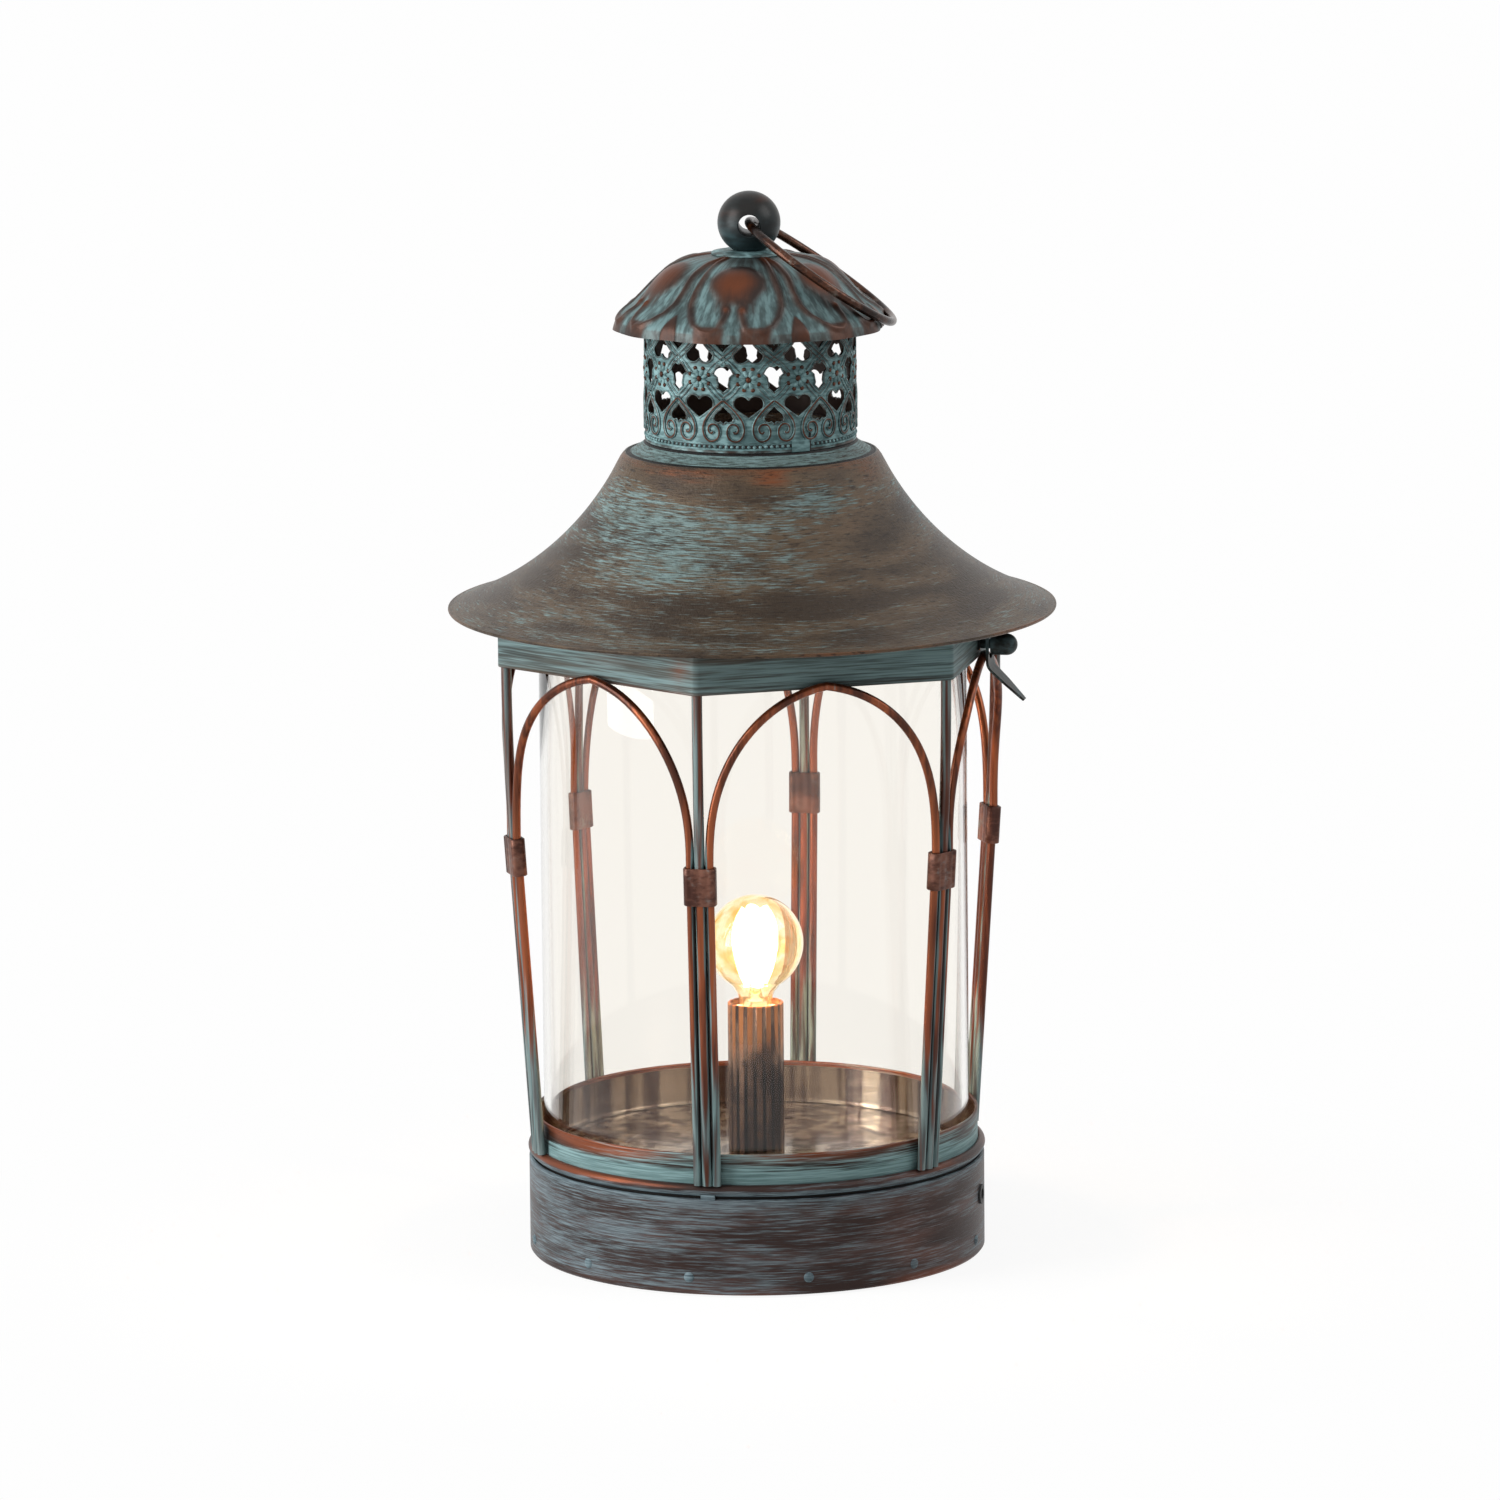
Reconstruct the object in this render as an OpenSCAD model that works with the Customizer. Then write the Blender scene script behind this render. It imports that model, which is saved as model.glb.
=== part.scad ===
// Lantern table lamp: six wrought posts and pointed wire arches round a loose glass chimney,
// on a drum base, under a bell roof with a pierced band, a petal cap, a ball and a carrying ring.
// Millimetres. The origin is the middle of the underside, +Z up. One post stands at -Y, and the
// roof opens on a hinge at -X and is held shut by a hasp at +X.

/* [Base] */
// Outer radius of the drum
drum_r = 106.1; // [100:0.5:115]
// Height of the drum's seat for the glass pan, above the table
drum_seat_z = 45.5; // [35:0.5:60]
// Thickness of the drum's sheet
drum_wall = 1.0; // [0.6:0.1:2]
// Radius of the rolled bead round the top of the drum
bead_r = 2.6; // [1.5:0.1:4]
// Height of the shadow groove under the bead
groove_h = 1.5; // [0.8:0.1:3]
// Number of spot-weld dimples round the foot
dimple_count = 12; // [6:1:24]
// Height of the spot-weld dimples above the table
dimple_z = 8.7; // [6:0.1:12]
// Thickness of the felt under the base
felt_t = 1.6; // [1:0.1:3]
// Thickness of the base plate
plate_t = 1.2; // [0.8:0.1:2]
// Height of the cable outlet above the table
outlet_z = 28.5; // [20:0.5:34]
// Radius of the bore for the mains lead
lead_bore_r = 2.6; // [2:0.1:3.2]

/* [Glass and pan] */
// Distance of the glass chimney inside the drum's outside
glass_inset = 7.1; // [6.8:0.1:14]
// Thickness of the glass
glass_wall = 3; // [2:0.25:5]
// Height of the top of the glass
glass_top_z = 290; // [270:1:298]
// Height of the pan's collar above its floor
collar_h = 19.6; // [12:0.2:30]
// Thickness of the pan's sheet
pan_wall = 1.0; // [0.6:0.1:2]

/* [Posts and arches] */
// Radius of a post's middle rod
rod_r = 2.4; // [1.8:0.1:3]
// Radius of the arch wires
wire_r = 1.95; // [1.4:0.05:2.6]
// Distance of a post's middle inside the drum's outside, at its foot
post_inset = 0.2; // [0:0.1:0.5]
// How far a post leans out between its foot and its clip
post_spread = 9.5; // [5:0.1:12]
// Height of the clips' middle
clip_z = 193; // [150:1:215]
// Height of a clip
clip_h = 17.5; // [10:0.5:25]
// Thickness of a clip's strap
clip_t = 1.0; // [0.6:0.1:1.6]
// Height of an arch's apex
apex_z = 283; // [270:1:283]

/* [Top ring, hinge and hasp] */
// Distance of the six-sided ring's flats outside the drum
ring_out = 0.4; // [0:0.1:2]
// Height of the ring's lower edge
ring_low_z = 281.5; // [275:0.5:290]
// Thickness of the ring's sheet
ring_wall = 1.0; // [0.6:0.1:1.6]
// Bend radius of the ring's corners
ring_bend_r = 4; // [2:0.5:8]
// Radius of the hinge pin
hinge_pin_r = 1.5; // [1:0.1:1.8]
// Radius of the hasp's pin
hasp_pin_r = 1.1; // [0.8:0.1:1.4]
// Distance of the hasp's pin below the roof
hasp_drop = 5.3; // [4.8:0.1:8]
// Height of the knob that the hasp closes over
knob_z = 288; // [287.5:0.5:292]
// Radius of the knob
knob_r = 5; // [3.5:0.25:5.5]
// Width of the hasp's strip
hasp_w = 14; // [12:0.5:18]
// Length of the hasp's narrow top, below its pin
hasp_neck = 11; // [8:0.5:12]
// Thickness of the hasp's strip
hasp_t = 1.2; // [0.8:0.1:1.6]

/* [Roof] */
// Radius of the brim
brim_r = 140.5; // [135:0.5:150]
// Height of the brim
brim_z = 303.4; // [300:0.2:310]
// Thickness of the roof's sheet
roof_wall = 1.2; // [0.8:0.1:2]
// Radius of the bell's sweep
bell_r = 137.5; // [130:0.5:150]
// Radius of the neck that carries the pierced band
neck_r = 48.4; // [44:0.2:52]
// Height of the neck
neck_z = 381; // [375:0.5:390]
// Width of the shoulder, from the neck out to the bell
shoulder_w = 16.2; // [12:0.2:20]
// Drop of the shoulder below the neck
shoulder_h = 16.06; // [12:0.02:20]
// Radius of the rolled lip of the brim
lip_r = 1.1; // [0.8:0.1:1.5]

/* [Pierced band and cap] */
// Thickness of the pierced band
band_wall = 0.8; // [0.6:0.1:1.2]
// Number of flowers round the band
flower_count = 13; // [10:1:16]
// Height of the flowers' row
flower_z = 414.9; // [410:0.5:418]
// Number of petals on the cap
petal_count = 6; // [5:1:8]
// Radius of the cap's rim
cap_r = 62.8; // [58:0.2:68]
// Height of the cap's rim
cap_low_z = 433.2; // [428:0.2:440]
// Height of the cap's dome above its rim
cap_h = 33.4; // [25:0.2:40]
// Thickness of the cap's sheet
cap_wall = 1.1; // [0.8:0.1:1.6]
// Height of the relief of the petals
petal_relief = 1.3; // [0.4:0.1:2]

/* [Ball and carrying ring] */
// Radius of the ball
ball_r = 14.5; // [12:0.25:18]
// Height of the ball's middle
ball_z = 481; // [479:0.5:486]
// Radius of the carrying ring's wire
handle_wire_r = 2.05; // [1.5:0.05:2.5]
// Radius of the carrying ring, to the middle of its wire
handle_r = 40; // [36:0.5:44]
// Turn of the ball's hole away from the front post
ball_turn = 12.5; // [0:0.5:30]
// Lean of the resting ring below level
handle_lean = 35; // [30:0.5:38]

/* [Bulb and candle sleeve] */
// Radius of the fluted sleeve
sleeve_r = 13; // [12:0.25:16]
// Height of the top of the sleeve
sleeve_top_z = 116; // [105:0.5:130]
// Thickness of the sleeve
sleeve_wall = 1.2; // [0.8:0.1:1.4]
// Number of flutes
flute_count = 18; // [12:1:24]
// Radius of the bulb
bulb_r = 22.5; // [20:0.5:25]
// Height of the bulb's middle above the top of the sleeve
bulb_rise = 28; // [26:0.5:34]
// Thickness of the bulb's glass
bulb_wall = 0.8; // [0.5:0.1:1.2]
// Radius of the bulb's screw cap
screw_cap_r = 6.95; // [6.5:0.05:7.5]

/* [Hidden] */
$fn = 96;

glass_r = drum_r - glass_inset;
post_foot_r = drum_r - post_inset;
post_clip_r = post_foot_r + post_spread;
ring_flat_r = drum_r + ring_out;

// Clearances: a seat is left just clear, a sliding fit has this much round it
seat_gap = 0.3;
touch_gap = 0.1;
pin_gap = 0.05;
cut = 1;

// Derived sizes of the base
drum_low_z = felt_t / 2;
bead_z = drum_seat_z + groove_h + bead_r - 0.1;
bead_mid_r = drum_r + 0.4 - bead_r;
well_r = bead_mid_r - 0.6;
collar_r = well_r - touch_gap - 0.1;
pan_low_z = drum_seat_z + touch_gap;
pan_floor_z = pan_low_z + pan_wall;
collar_top_z = pan_floor_z + collar_h;
glass_low_z = pan_floor_z + seat_gap;
plate_z = felt_t;
plate_rim_h = 12;
plate_r = drum_r - drum_wall - touch_gap;
grommet_body_r = lead_bore_r + 1;
grommet_lip_r = grommet_body_r + 1;
drum_inner_r = drum_r - drum_wall;

// Derived sizes of the posts: a post leans out to the clip, then eases upright under the ring
corner_turn = 60;
leg_offset = rod_r + wire_r + touch_gap;
foot_z = bead_z + bead_r + touch_gap;
ring_inner_flat_r = ring_flat_r - ring_wall;
ring_corner_r = ring_flat_r / cos(30);
post_head_r = (ring_inner_flat_r - rod_r - seat_gap) / cos(30);
post_top_z = ring_low_z + 18;
clip_top_z = clip_z + clip_h / 2;
post_slope = (post_clip_r - post_foot_r) / (clip_z - foot_z);
apex_r = ring_flat_r + wire_r + 0.6;
rod_sides = 10;
wire_sides = 8;
rod_steps = 12;
leg_steps = 6;
arch_steps = 14;
arch_end = 79;

// Derived sizes of the roof: its bell is an arc, hollow side up
shoulder_r = neck_r + shoulder_w;
shoulder_z = neck_z - shoulder_h;
bell_run = [brim_r - shoulder_r, brim_z - shoulder_z];
bell_mid = [shoulder_r, shoulder_z] + bell_run / 2
  + sqrt(pow(bell_r, 2) - pow(norm(bell_run) / 2, 2)) * [-bell_run[1], bell_run[0]] / norm(bell_run);
bell_mid_r = bell_mid[0];
bell_mid_z = bell_mid[1];
neck_spigot_h = 5;
bell_steps = 28;
function bell_z(r, depth = 0) = bell_mid_z - sqrt(pow(bell_r + depth, 2) - pow(r - bell_mid_r, 2));
ring_top_z = bell_z(ring_corner_r, roof_wall) - seat_gap;

// Derived sizes of the hinge and the hasp
leaf_t = 1.2;
knuckle_r = hinge_pin_r + 1.1;
hinge_x = ring_flat_r + leaf_t + knuckle_r;
hinge_z = ring_top_z - knuckle_r - 2;
hinge_leaf_w = 30;
hinge_mid_w = 11.6;
hasp_x = apex_r + wire_r + touch_gap + hasp_t / 2;
hasp_pin_z = bell_z(hasp_x, roof_wall) - hasp_drop;
hasp_knuckle_r = hasp_pin_r + 1.1;
hasp_top_w = 8.2;
ear_w = 3;
hasp_hole_r = knob_r + 0.35;
knob_neck_r = 2.2;
knob_len = 12;
hasp_hole_slack = 1.4;
tail_lean = 42;
tail_len = 20;
hasp_bend_r = 5 * hasp_t;
hasp_bend_z = knob_z - knob_r - 2.4;
leaf_drop = tail_len * cos(tail_lean) + 4.6;

// Derived sizes of the pierced band and the cap
band_inner_r = neck_r - band_wall;
band_gap_turn = 360 / flower_count;
seam_turn = 42.5;
flower_turn = seam_turn - 31.2;
cap_top_z = cap_low_z + cap_h;
cap_flat_r = 17;
cap_steps = 16;
cap_turns = petal_count * 14;
petal_turn = 4.5;
// The cap's outline: distance in from its rim and share of its height
cap_outline = [[cap_r - cap_flat_r, 1], [35.8, 0.95], [28.4, 0.865], [23.8, 0.78], [17.8, 0.615], [12.8, 0.46],
  [8.8, 0.345], [5.6, 0.275], [2.8, 0.195], [1, 0.11], [0, 0]];
function cap_reach(t) = cap_r - lookup(10 * t, [for (i = [0:10]) [i, cap_outline[i][0]]]);
function cap_rise(t) = cap_low_z + cap_h * lookup(10 * t, [for (i = [0:10]) [i, cap_outline[i][1]]]);
cap_over_band_z = cap_low_z + cap_h * lookup(neck_r, [for (i = [0:10]) [cap_r - cap_outline[i][0], cap_outline[i][1]]]);
band_top_z = cap_over_band_z - 1.5 * cap_wall - 0.15 * petal_relief - seat_gap;

// Derived sizes of the ball and the ring: the wire bows inside the ball, so the hole is wider
handle_bow = ball_r * ball_r / (2 * handle_r);
ball_hole_r = handle_wire_r + handle_bow + 0.25;
washer_r = 17.5;
washer_t = 1.6;
washer_low_z = cap_top_z + touch_gap;
ball_low_z = washer_low_z + washer_t + touch_gap;
screw_r = 2.4;
screw_top_z = ball_z - ball_hole_r - 2;

// Derived sizes of the bulb and its holder
bulb_z = sleeve_top_z + bulb_rise;
neck_low_z = bulb_z - bulb_r - 7.9;
screw_cap_low_z = neck_low_z - 23.5;
holder_r = sleeve_r - sleeve_wall - seat_gap;
holder_bore_r = screw_cap_r + seat_gap;
holder_top_z = neck_low_z - 0.6;
holder_low_z = screw_cap_low_z - 10.5;
nipple_r = 4.9;
nipple_low_z = pan_low_z - 9;
nut_r = 8.5;
nut_h = 4;

function point_at(r, turn, z) = [r * cos(turn), r * sin(turn), z];
function unit(v) = v / norm(v);
function post_r(z) = z <= clip_z
  ? post_foot_r + post_slope * (z - foot_z)
  : z >= ring_low_z ? post_head_r
  : post_clip_r + (post_head_r - post_clip_r) * (1 - pow(1 - (z - clip_z) / (ring_low_z - clip_z), 2));

// A round bar along a path. The side vector keeps its sections from twisting.
module bar_along(path, bar_r, sides, side) {
  last = len(path) - 1;
  rings = [for (i = [0:last])
    let (ahead = unit(path[min(i + 1, last)] - path[max(i - 1, 0)]),
         out = unit(side - (side * ahead) * ahead),
         across = cross(ahead, out))
    [for (j = [0:sides - 1]) path[i] + bar_r * (cos(360 * j / sides) * out + sin(360 * j / sides) * across)]];
  polyhedron(
    points = [for (ring = rings) each ring],
    faces = concat(
      [[for (j = [0:sides - 1]) j]],
      [[for (j = [sides - 1:-1:0]) last * sides + j]],
      [for (i = [0:last - 1]) for (j = [0:sides - 1])
        let (k = (j + 1) % sides)
        each [[i * sides + j, (i + 1) * sides + j, (i + 1) * sides + k],
              [i * sides + j, (i + 1) * sides + k, i * sides + k]]]
    )
  );
}

// A round corner list for a regular outline
function six_sided(flat_r, bend_r) = [for (c = [0:5]) for (s = [0:6])
  let (turn = 30 + 60 * c, mid = (flat_r - bend_r) / cos(30), a = turn - 30 + 10 * s)
  [mid * cos(turn) + bend_r * cos(a), mid * sin(turn) + bend_r * sin(a)]];

function round_box(w, d, r) = [for (q = [0:3]) for (s = [0:4])
  let (sx = (q == 0 || q == 3) ? 1 : -1, sy = q < 2 ? 1 : -1, a = 90 * q + 22.5 * s)
  [sx * (w / 2 - r) + r * cos(a), sy * (d / 2 - r) + r * sin(a)]];

module base_drum() color("rosybrown") difference() {
  union() {
    rotate_extrude() {
      translate([0, drum_low_z]) square([drum_r, drum_seat_z - drum_low_z - 0.9]);
      translate([0, drum_seat_z - 1.6]) square([drum_r - 0.7, 1.6]);
      translate([drum_r - 0.8, drum_seat_z - 0.9]) circle(0.9);
      translate([0, drum_seat_z - 0.5]) square([well_r + 1.7, groove_h + 1]);
      intersection() {
        translate([bead_mid_r, bead_z]) circle(bead_r);
        translate([well_r, bead_z - bead_r]) square(2 * bead_r);
      }
    }
    // the drum's upright seam bridges the groove under the front post
    translate([-3.3, -drum_r + 0.2, drum_seat_z - 1]) cube([6.6, 2, groove_h + 1.5]);
    for (i = [0:dimple_count - 1])
      rotate([0, 0, 360 * i / dimple_count - 95]) translate([drum_r - 1.6, 0, dimple_z]) sphere(2.4);
  }
  translate([0, 0, -cut]) cylinder(r = drum_inner_r, h = drum_seat_z - drum_wall + cut);
  translate([0, 0, drum_seat_z]) cylinder(r = well_r, h = groove_h + 3 * bead_r);
  cylinder(r = drum_r - 12, h = drum_seat_z + cut);
  translate([drum_r - 20, 0, outlet_z]) rotate([0, 90, 0]) cylinder(r = grommet_body_r + touch_gap, h = 30);
}

module base_plate() color("dimgray") difference() {
  translate([0, 0, plate_z]) cylinder(r = plate_r, h = plate_rim_h);
  translate([0, 0, plate_z + plate_t]) cylinder(r = plate_r - plate_t, h = plate_rim_h);
}

module base_felt() color("black") cylinder(r = drum_r - 8, h = felt_t);

module cable_grommet() color("black") translate([0, 0, outlet_z]) rotate([0, 90, 0]) rotate_extrude() {
  translate([lead_bore_r, drum_inner_r - 2]) square([grommet_body_r - lead_bore_r, drum_wall + 3]);
  translate([lead_bore_r, drum_inner_r - 2]) square([grommet_lip_r - lead_bore_r, 1.7]);
  translate([lead_bore_r, drum_r + 0.1]) square([grommet_lip_r - lead_bore_r, 0.9]);
}

module glass_pan() color("lightslategray") difference() {
  rotate_extrude() {
    translate([0, pan_low_z]) square([collar_r, pan_wall]);
    translate([collar_r - pan_wall, pan_low_z]) square([pan_wall, collar_top_z - pan_low_z - 0.8]);
    translate([collar_r - pan_wall / 2, collar_top_z - 0.8]) circle(0.8);
    translate([62, pan_floor_z - 0.2]) square([3, 0.7]);
  }
  translate([0, 0, pan_low_z - cut]) cylinder(r = nipple_r + touch_gap, h = 4);
}

module glass_chimney() color([0.9, 0.95, 0.95, 0.35]) difference() {
  translate([0, 0, glass_low_z]) cylinder(r = glass_r, h = glass_top_z - glass_low_z);
  translate([0, 0, glass_low_z - cut]) cylinder(r = glass_r - glass_wall, h = glass_top_z);
}

function post_turn(i) = -90 + corner_turn * (i - 1);

module post_rod(i) color("darkslategray") {
  turn = post_turn(i);
  heights = [for (s = [0:rod_steps]) foot_z + (post_top_z - foot_z) * s / rod_steps];
  bar_along([for (z = heights) point_at(post_r(z), turn, z)], rod_r, rod_sides, point_at(1, turn, 0));
}

// One arch: up beside its first post, over the apex and down beside the next post.
function leg_point(turn, side, z) = point_at(post_r(z), turn, z) + leg_offset * side * [-sin(turn), cos(turn), 0];
function arch_half(mid_turn, side) =
  let (turn = mid_turn - side * 30,
       spring = leg_point(turn, side, clip_top_z),
       normal = [cos(mid_turn), sin(mid_turn), 0],
       along = [-sin(mid_turn), cos(mid_turn), 0],
       spring_n = spring * normal,
       spring_s = spring * along)
  concat(
    [for (s = [0:leg_steps - 1]) leg_point(turn, side, foot_z + (clip_top_z - foot_z) * s / leg_steps)],
    [for (s = [0:arch_steps])
      let (u = arch_end * s / arch_steps,
           share = max(0, cos(u) - cos(arch_end)) / (1 - cos(arch_end)),
           n = spring_n + (apex_r - spring_n) * (1 - pow(share, 5)),
           z = clip_top_z + (apex_z - clip_top_z) * pow(sin(u) / sin(arch_end), 0.79))
      n * normal + pow(share, 0.94) * spring_s * along + [0, 0, z]]
  );

module arch_wire(i) color("sienna") {
  mid_turn = post_turn(i) + 30;
  up = arch_half(mid_turn, 1);
  down = arch_half(mid_turn, -1);
  path = concat(up, [for (s = [len(down) - 2:-1:0]) down[s]]);
  bar_along(path, wire_r, wire_sides, [cos(mid_turn), sin(mid_turn), 0]);
}

module post_clip(i) color("saddlebrown") {
  inner_w = 2 * (leg_offset + wire_r + touch_gap);
  inner_d = 2 * (rod_r + touch_gap);
  rotate([0, 0, post_turn(i)]) translate([post_clip_r, 0, clip_z]) rotate([0, atan(post_slope), 0])
    linear_extrude(clip_h, center = true) rotate(90) difference() {
      polygon(round_box(inner_w + 2 * clip_t, inner_d + 2 * clip_t, 2.6));
      polygon(round_box(inner_w, inner_d, 1.6));
    }
}

module top_ring() color("cadetblue") translate([0, 0, ring_low_z]) difference() {
  linear_extrude(ring_top_z - ring_low_z) polygon(six_sided(ring_flat_r, ring_bend_r));
  translate([0, 0, -cut]) linear_extrude(ring_top_z) polygon(six_sided(ring_inner_flat_r, ring_bend_r - ring_wall));
}

// A strap bent to the underside of the bell, between two radii and as wide as w
module under_roof(r0, r1, w, turn) {
  steps = 6;
  radii = [for (s = [0:steps]) r0 + (r1 - r0) * s / steps];
  top = roof_wall + touch_gap;
  rotate([0, 0, turn]) intersection() {
    rotate_extrude() polygon(concat(
      [for (r = radii) [r, bell_z(r, top)]],
      [for (s = [steps:-1:0]) [radii[s], bell_z(radii[s], top + leaf_t)]]));
    translate([0, -w / 2, 0]) cube([brim_r, w, bell_mid_z]);
  }
}

module hinge_bar(r, w) translate([-hinge_x, w / 2, hinge_z]) rotate([90, 0, 0]) cylinder(r = r, h = w);

module hinge_leaf_ring() color("darkslategray") difference() {
  union() {
    translate([-ring_flat_r - leaf_t, -hinge_leaf_w / 2, apex_z + wire_r + 3])
      cube([leaf_t, hinge_leaf_w, hinge_z + 1 - apex_z - wire_r - 3]);
    translate([-hinge_x, -hinge_mid_w / 2, hinge_z - knuckle_r]) cube([hinge_x - ring_flat_r, hinge_mid_w, 2]);
    hinge_bar(knuckle_r, hinge_mid_w);
  }
  hinge_bar(hinge_pin_r + pin_gap, hinge_leaf_w);
}

module hinge_leaf_roof() color("darkslategray") difference() {
  union() {
    under_roof(hinge_x - 3, hinge_x + 14, hinge_leaf_w, 180);
    difference() {
      union() {
        hinge_bar(knuckle_r, hinge_leaf_w);
        translate([-hinge_x - knuckle_r, -hinge_leaf_w / 2, hinge_z])
          cube([2, hinge_leaf_w, bell_z(hinge_x + knuckle_r, roof_wall + touch_gap + leaf_t / 2) - hinge_z]);
      }
      translate([-hinge_x - 2 * knuckle_r, -hinge_mid_w / 2 - seat_gap, hinge_z - 2 * knuckle_r])
        cube([4 * knuckle_r, hinge_mid_w + 2 * seat_gap, 4 * knuckle_r]);
    }
  }
  hinge_bar(hinge_pin_r + pin_gap, 2 * hinge_leaf_w);
}

module hinge_pin() color("silver") hinge_bar(hinge_pin_r, hinge_leaf_w + 2);

module latch_knob() color("black") translate([0, 0, knob_z]) rotate([0, 90, 0]) rotate_extrude() {
  head_x = hasp_x + hasp_t / 2 + seat_gap;
  translate([0, ring_flat_r]) square([3.2, 1]);
  translate([0, ring_flat_r]) square([knob_neck_r, head_x - ring_flat_r + 1]);
  translate([0, head_x]) square([knob_r, knob_len - knob_r]);
  intersection() {
    translate([0, head_x + knob_len - knob_r]) circle(knob_r);
    translate([0, head_x]) square([knob_r, knob_len]);
  }
}

module hasp_bar(r, w) translate([hasp_x, w / 2, hasp_pin_z]) rotate([90, 0, 0]) cylinder(r = r, h = w);

// Half of the hasp's outline, seen from outside
leaf_half = [
  [hasp_top_w / 2, hasp_pin_z], [hasp_top_w / 2, hasp_pin_z - 0.55 * hasp_neck], [hasp_w / 2, hasp_pin_z - hasp_neck],
  [hasp_w / 2, hasp_bend_z - 1], [0.4 * hasp_w, hasp_bend_z - leaf_drop / 2],
  [0.17 * hasp_w, hasp_bend_z - 0.88 * leaf_drop], [0.07 * hasp_w, hasp_bend_z - leaf_drop]];

// The strip hangs from its pin, passes between the ring and the knob, and its leaf end turns out.
module hasp() color("dimgray") difference() {
  union() {
    intersection() {
      rotate([90, 0, 0]) linear_extrude(hasp_w + 2, center = true) {
        bend = [for (s = [0:4]) let (a = tail_lean * s / 4) hasp_bend_r * [1 - cos(a), -sin(a)]];
        tip = bend[4] + tail_len * [sin(tail_lean), -cos(tail_lean)];
        mid = concat([[0, hasp_pin_z - hasp_bend_z]], bend, [tip + hasp_t * [1, 0.5]]);
        last = len(mid) - 1;
        sides = [for (i = [0:last])
          let (v = unit(mid[min(i + 1, last)] - mid[max(i - 1, 0)])) [-v[1], v[0]]];
        translate([hasp_x, hasp_bend_z]) polygon(concat(
          [for (i = [0:last]) mid[i] + sides[i] * hasp_t / 2],
          [for (i = [last:-1:0]) mid[i] - sides[i] * hasp_t / 2]));
      }
      rotate([90, 0, 90]) linear_extrude(2 * brim_r) polygon([
        for (p = leaf_half) [p[0], p[1]],
        for (i = [len(leaf_half) - 1:-1:0]) [-leaf_half[i][0], leaf_half[i][1]]]);
    }
    hasp_bar(hasp_knuckle_r, hasp_top_w);
  }
  hasp_bar(hasp_pin_r + pin_gap, 2 * hasp_w);
  // the hole is a little long, because the strip swings on an arc as it leaves the knob
  translate([0, 0, knob_z]) rotate([0, 90, 0]) cylinder(r = hasp_hole_r, h = brim_r);
  translate([0, 0, knob_z - hasp_hole_slack]) rotate([0, 90, 0]) cylinder(r = hasp_hole_r, h = brim_r);
}

module hasp_pin() color("silver") hasp_bar(hasp_pin_r, hasp_top_w + 2 * (ear_w + seat_gap) + 1);

module hasp_bracket() color("darkslategray") difference() {
  union() {
    under_roof(hasp_x - 4, hasp_x + 7, hasp_top_w + 2 * (ear_w + seat_gap), 0);
    for (side = [-1, 1]) translate([0, side * (hasp_top_w / 2 + seat_gap + ear_w / 2), 0]) {
      hasp_bar(hasp_knuckle_r, ear_w);
      translate([hasp_x - hasp_knuckle_r, -ear_w / 2, hasp_pin_z])
        cube([2 * hasp_knuckle_r, ear_w, bell_z(hasp_x + hasp_knuckle_r, roof_wall + 0.6) - hasp_pin_z - 0.2]);
    }
  }
  hasp_bar(hasp_pin_r + pin_gap, 2 * hasp_w);
}

// One closed outline: the spigot, neck and shoulder, the bell, and the rolled lip of the brim
module roof_bell() color("rosybrown") rotate_extrude() {
  end_r = brim_r - 1.6 * lip_r;
  radii = [for (s = [0:bell_steps]) shoulder_r + (end_r - shoulder_r) * s / bell_steps];
  lip_mid = [brim_r - lip_r, bell_z(brim_r - lip_r, roof_wall / 2)];
  across = [0, 0.32, 0.59, 0.74, 0.86];
  down = [0, 0.18, 0.355, 0.517, 0.735];
  outer_top = [for (i = [0:4]) [neck_r + across[i] * shoulder_w, neck_z - down[i] * shoulder_h]];
  inner_top = concat(
    [for (i = [4:-1:1]) outer_top[i] + roof_wall * [i == 1 ? -0.5 : -0.95, i == 4 ? -0.3 : -0.85]],
    [[neck_r - 0.2, neck_z - roof_wall], [band_inner_r - touch_gap - 1, neck_z - roof_wall]]);
  spigot = [[band_inner_r - touch_gap - 1, neck_z + neck_spigot_h], [band_inner_r - touch_gap, neck_z + neck_spigot_h],
    [band_inner_r - touch_gap, neck_z]];
  polygon(concat(
    spigot, outer_top,
    [for (r = radii) [r, bell_z(r)]],
    [for (a = [90:-30:-150]) lip_mid + lip_r * [cos(a), sin(a)]],
    [for (s = [bell_steps:-1:0]) [radii[s], bell_z(radii[s], roof_wall)]],
    inner_top));
}

// Openings of the pierced band, drawn flat and cut through the wall
module heart(w, h) {
  lobe = w / 4 + 0.2;
  for (side = [-1, 1]) translate([side * (w / 2 - lobe), h / 2 - lobe]) circle(lobe);
  polygon([[-w / 2 + 0.4, h / 2 - lobe - 1], [-w / 2 + lobe, h / 2 - lobe], [w / 2 - lobe, h / 2 - lobe],
    [w / 2 - 0.4, h / 2 - lobe - 1], [0, -h / 2]]);
}

module shield(w, h) difference() {
  polygon([[0, h / 2 - 1], [w / 4, h / 2], [w / 2, h / 6], [w / 3, -h / 6], [0, -h / 2],
    [-w / 3, -h / 6], [-w / 2, h / 6], [-w / 4, h / 2]]);
  for (side = [-1, 1]) translate([side * (w / 2 + 1.6), -0.6]) circle(2.4);
}

module spade(w, h) {
  polygon([[0, h / 2], [w / 2, -h / 6], [w / 4, -h / 3], [0, -h / 2], [-w / 4, -h / 3], [-w / 2, -h / 6]]);
  for (side = [-1, 1]) translate([side * w / 4.6, -h / 5]) circle(w / 5);
}

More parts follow.
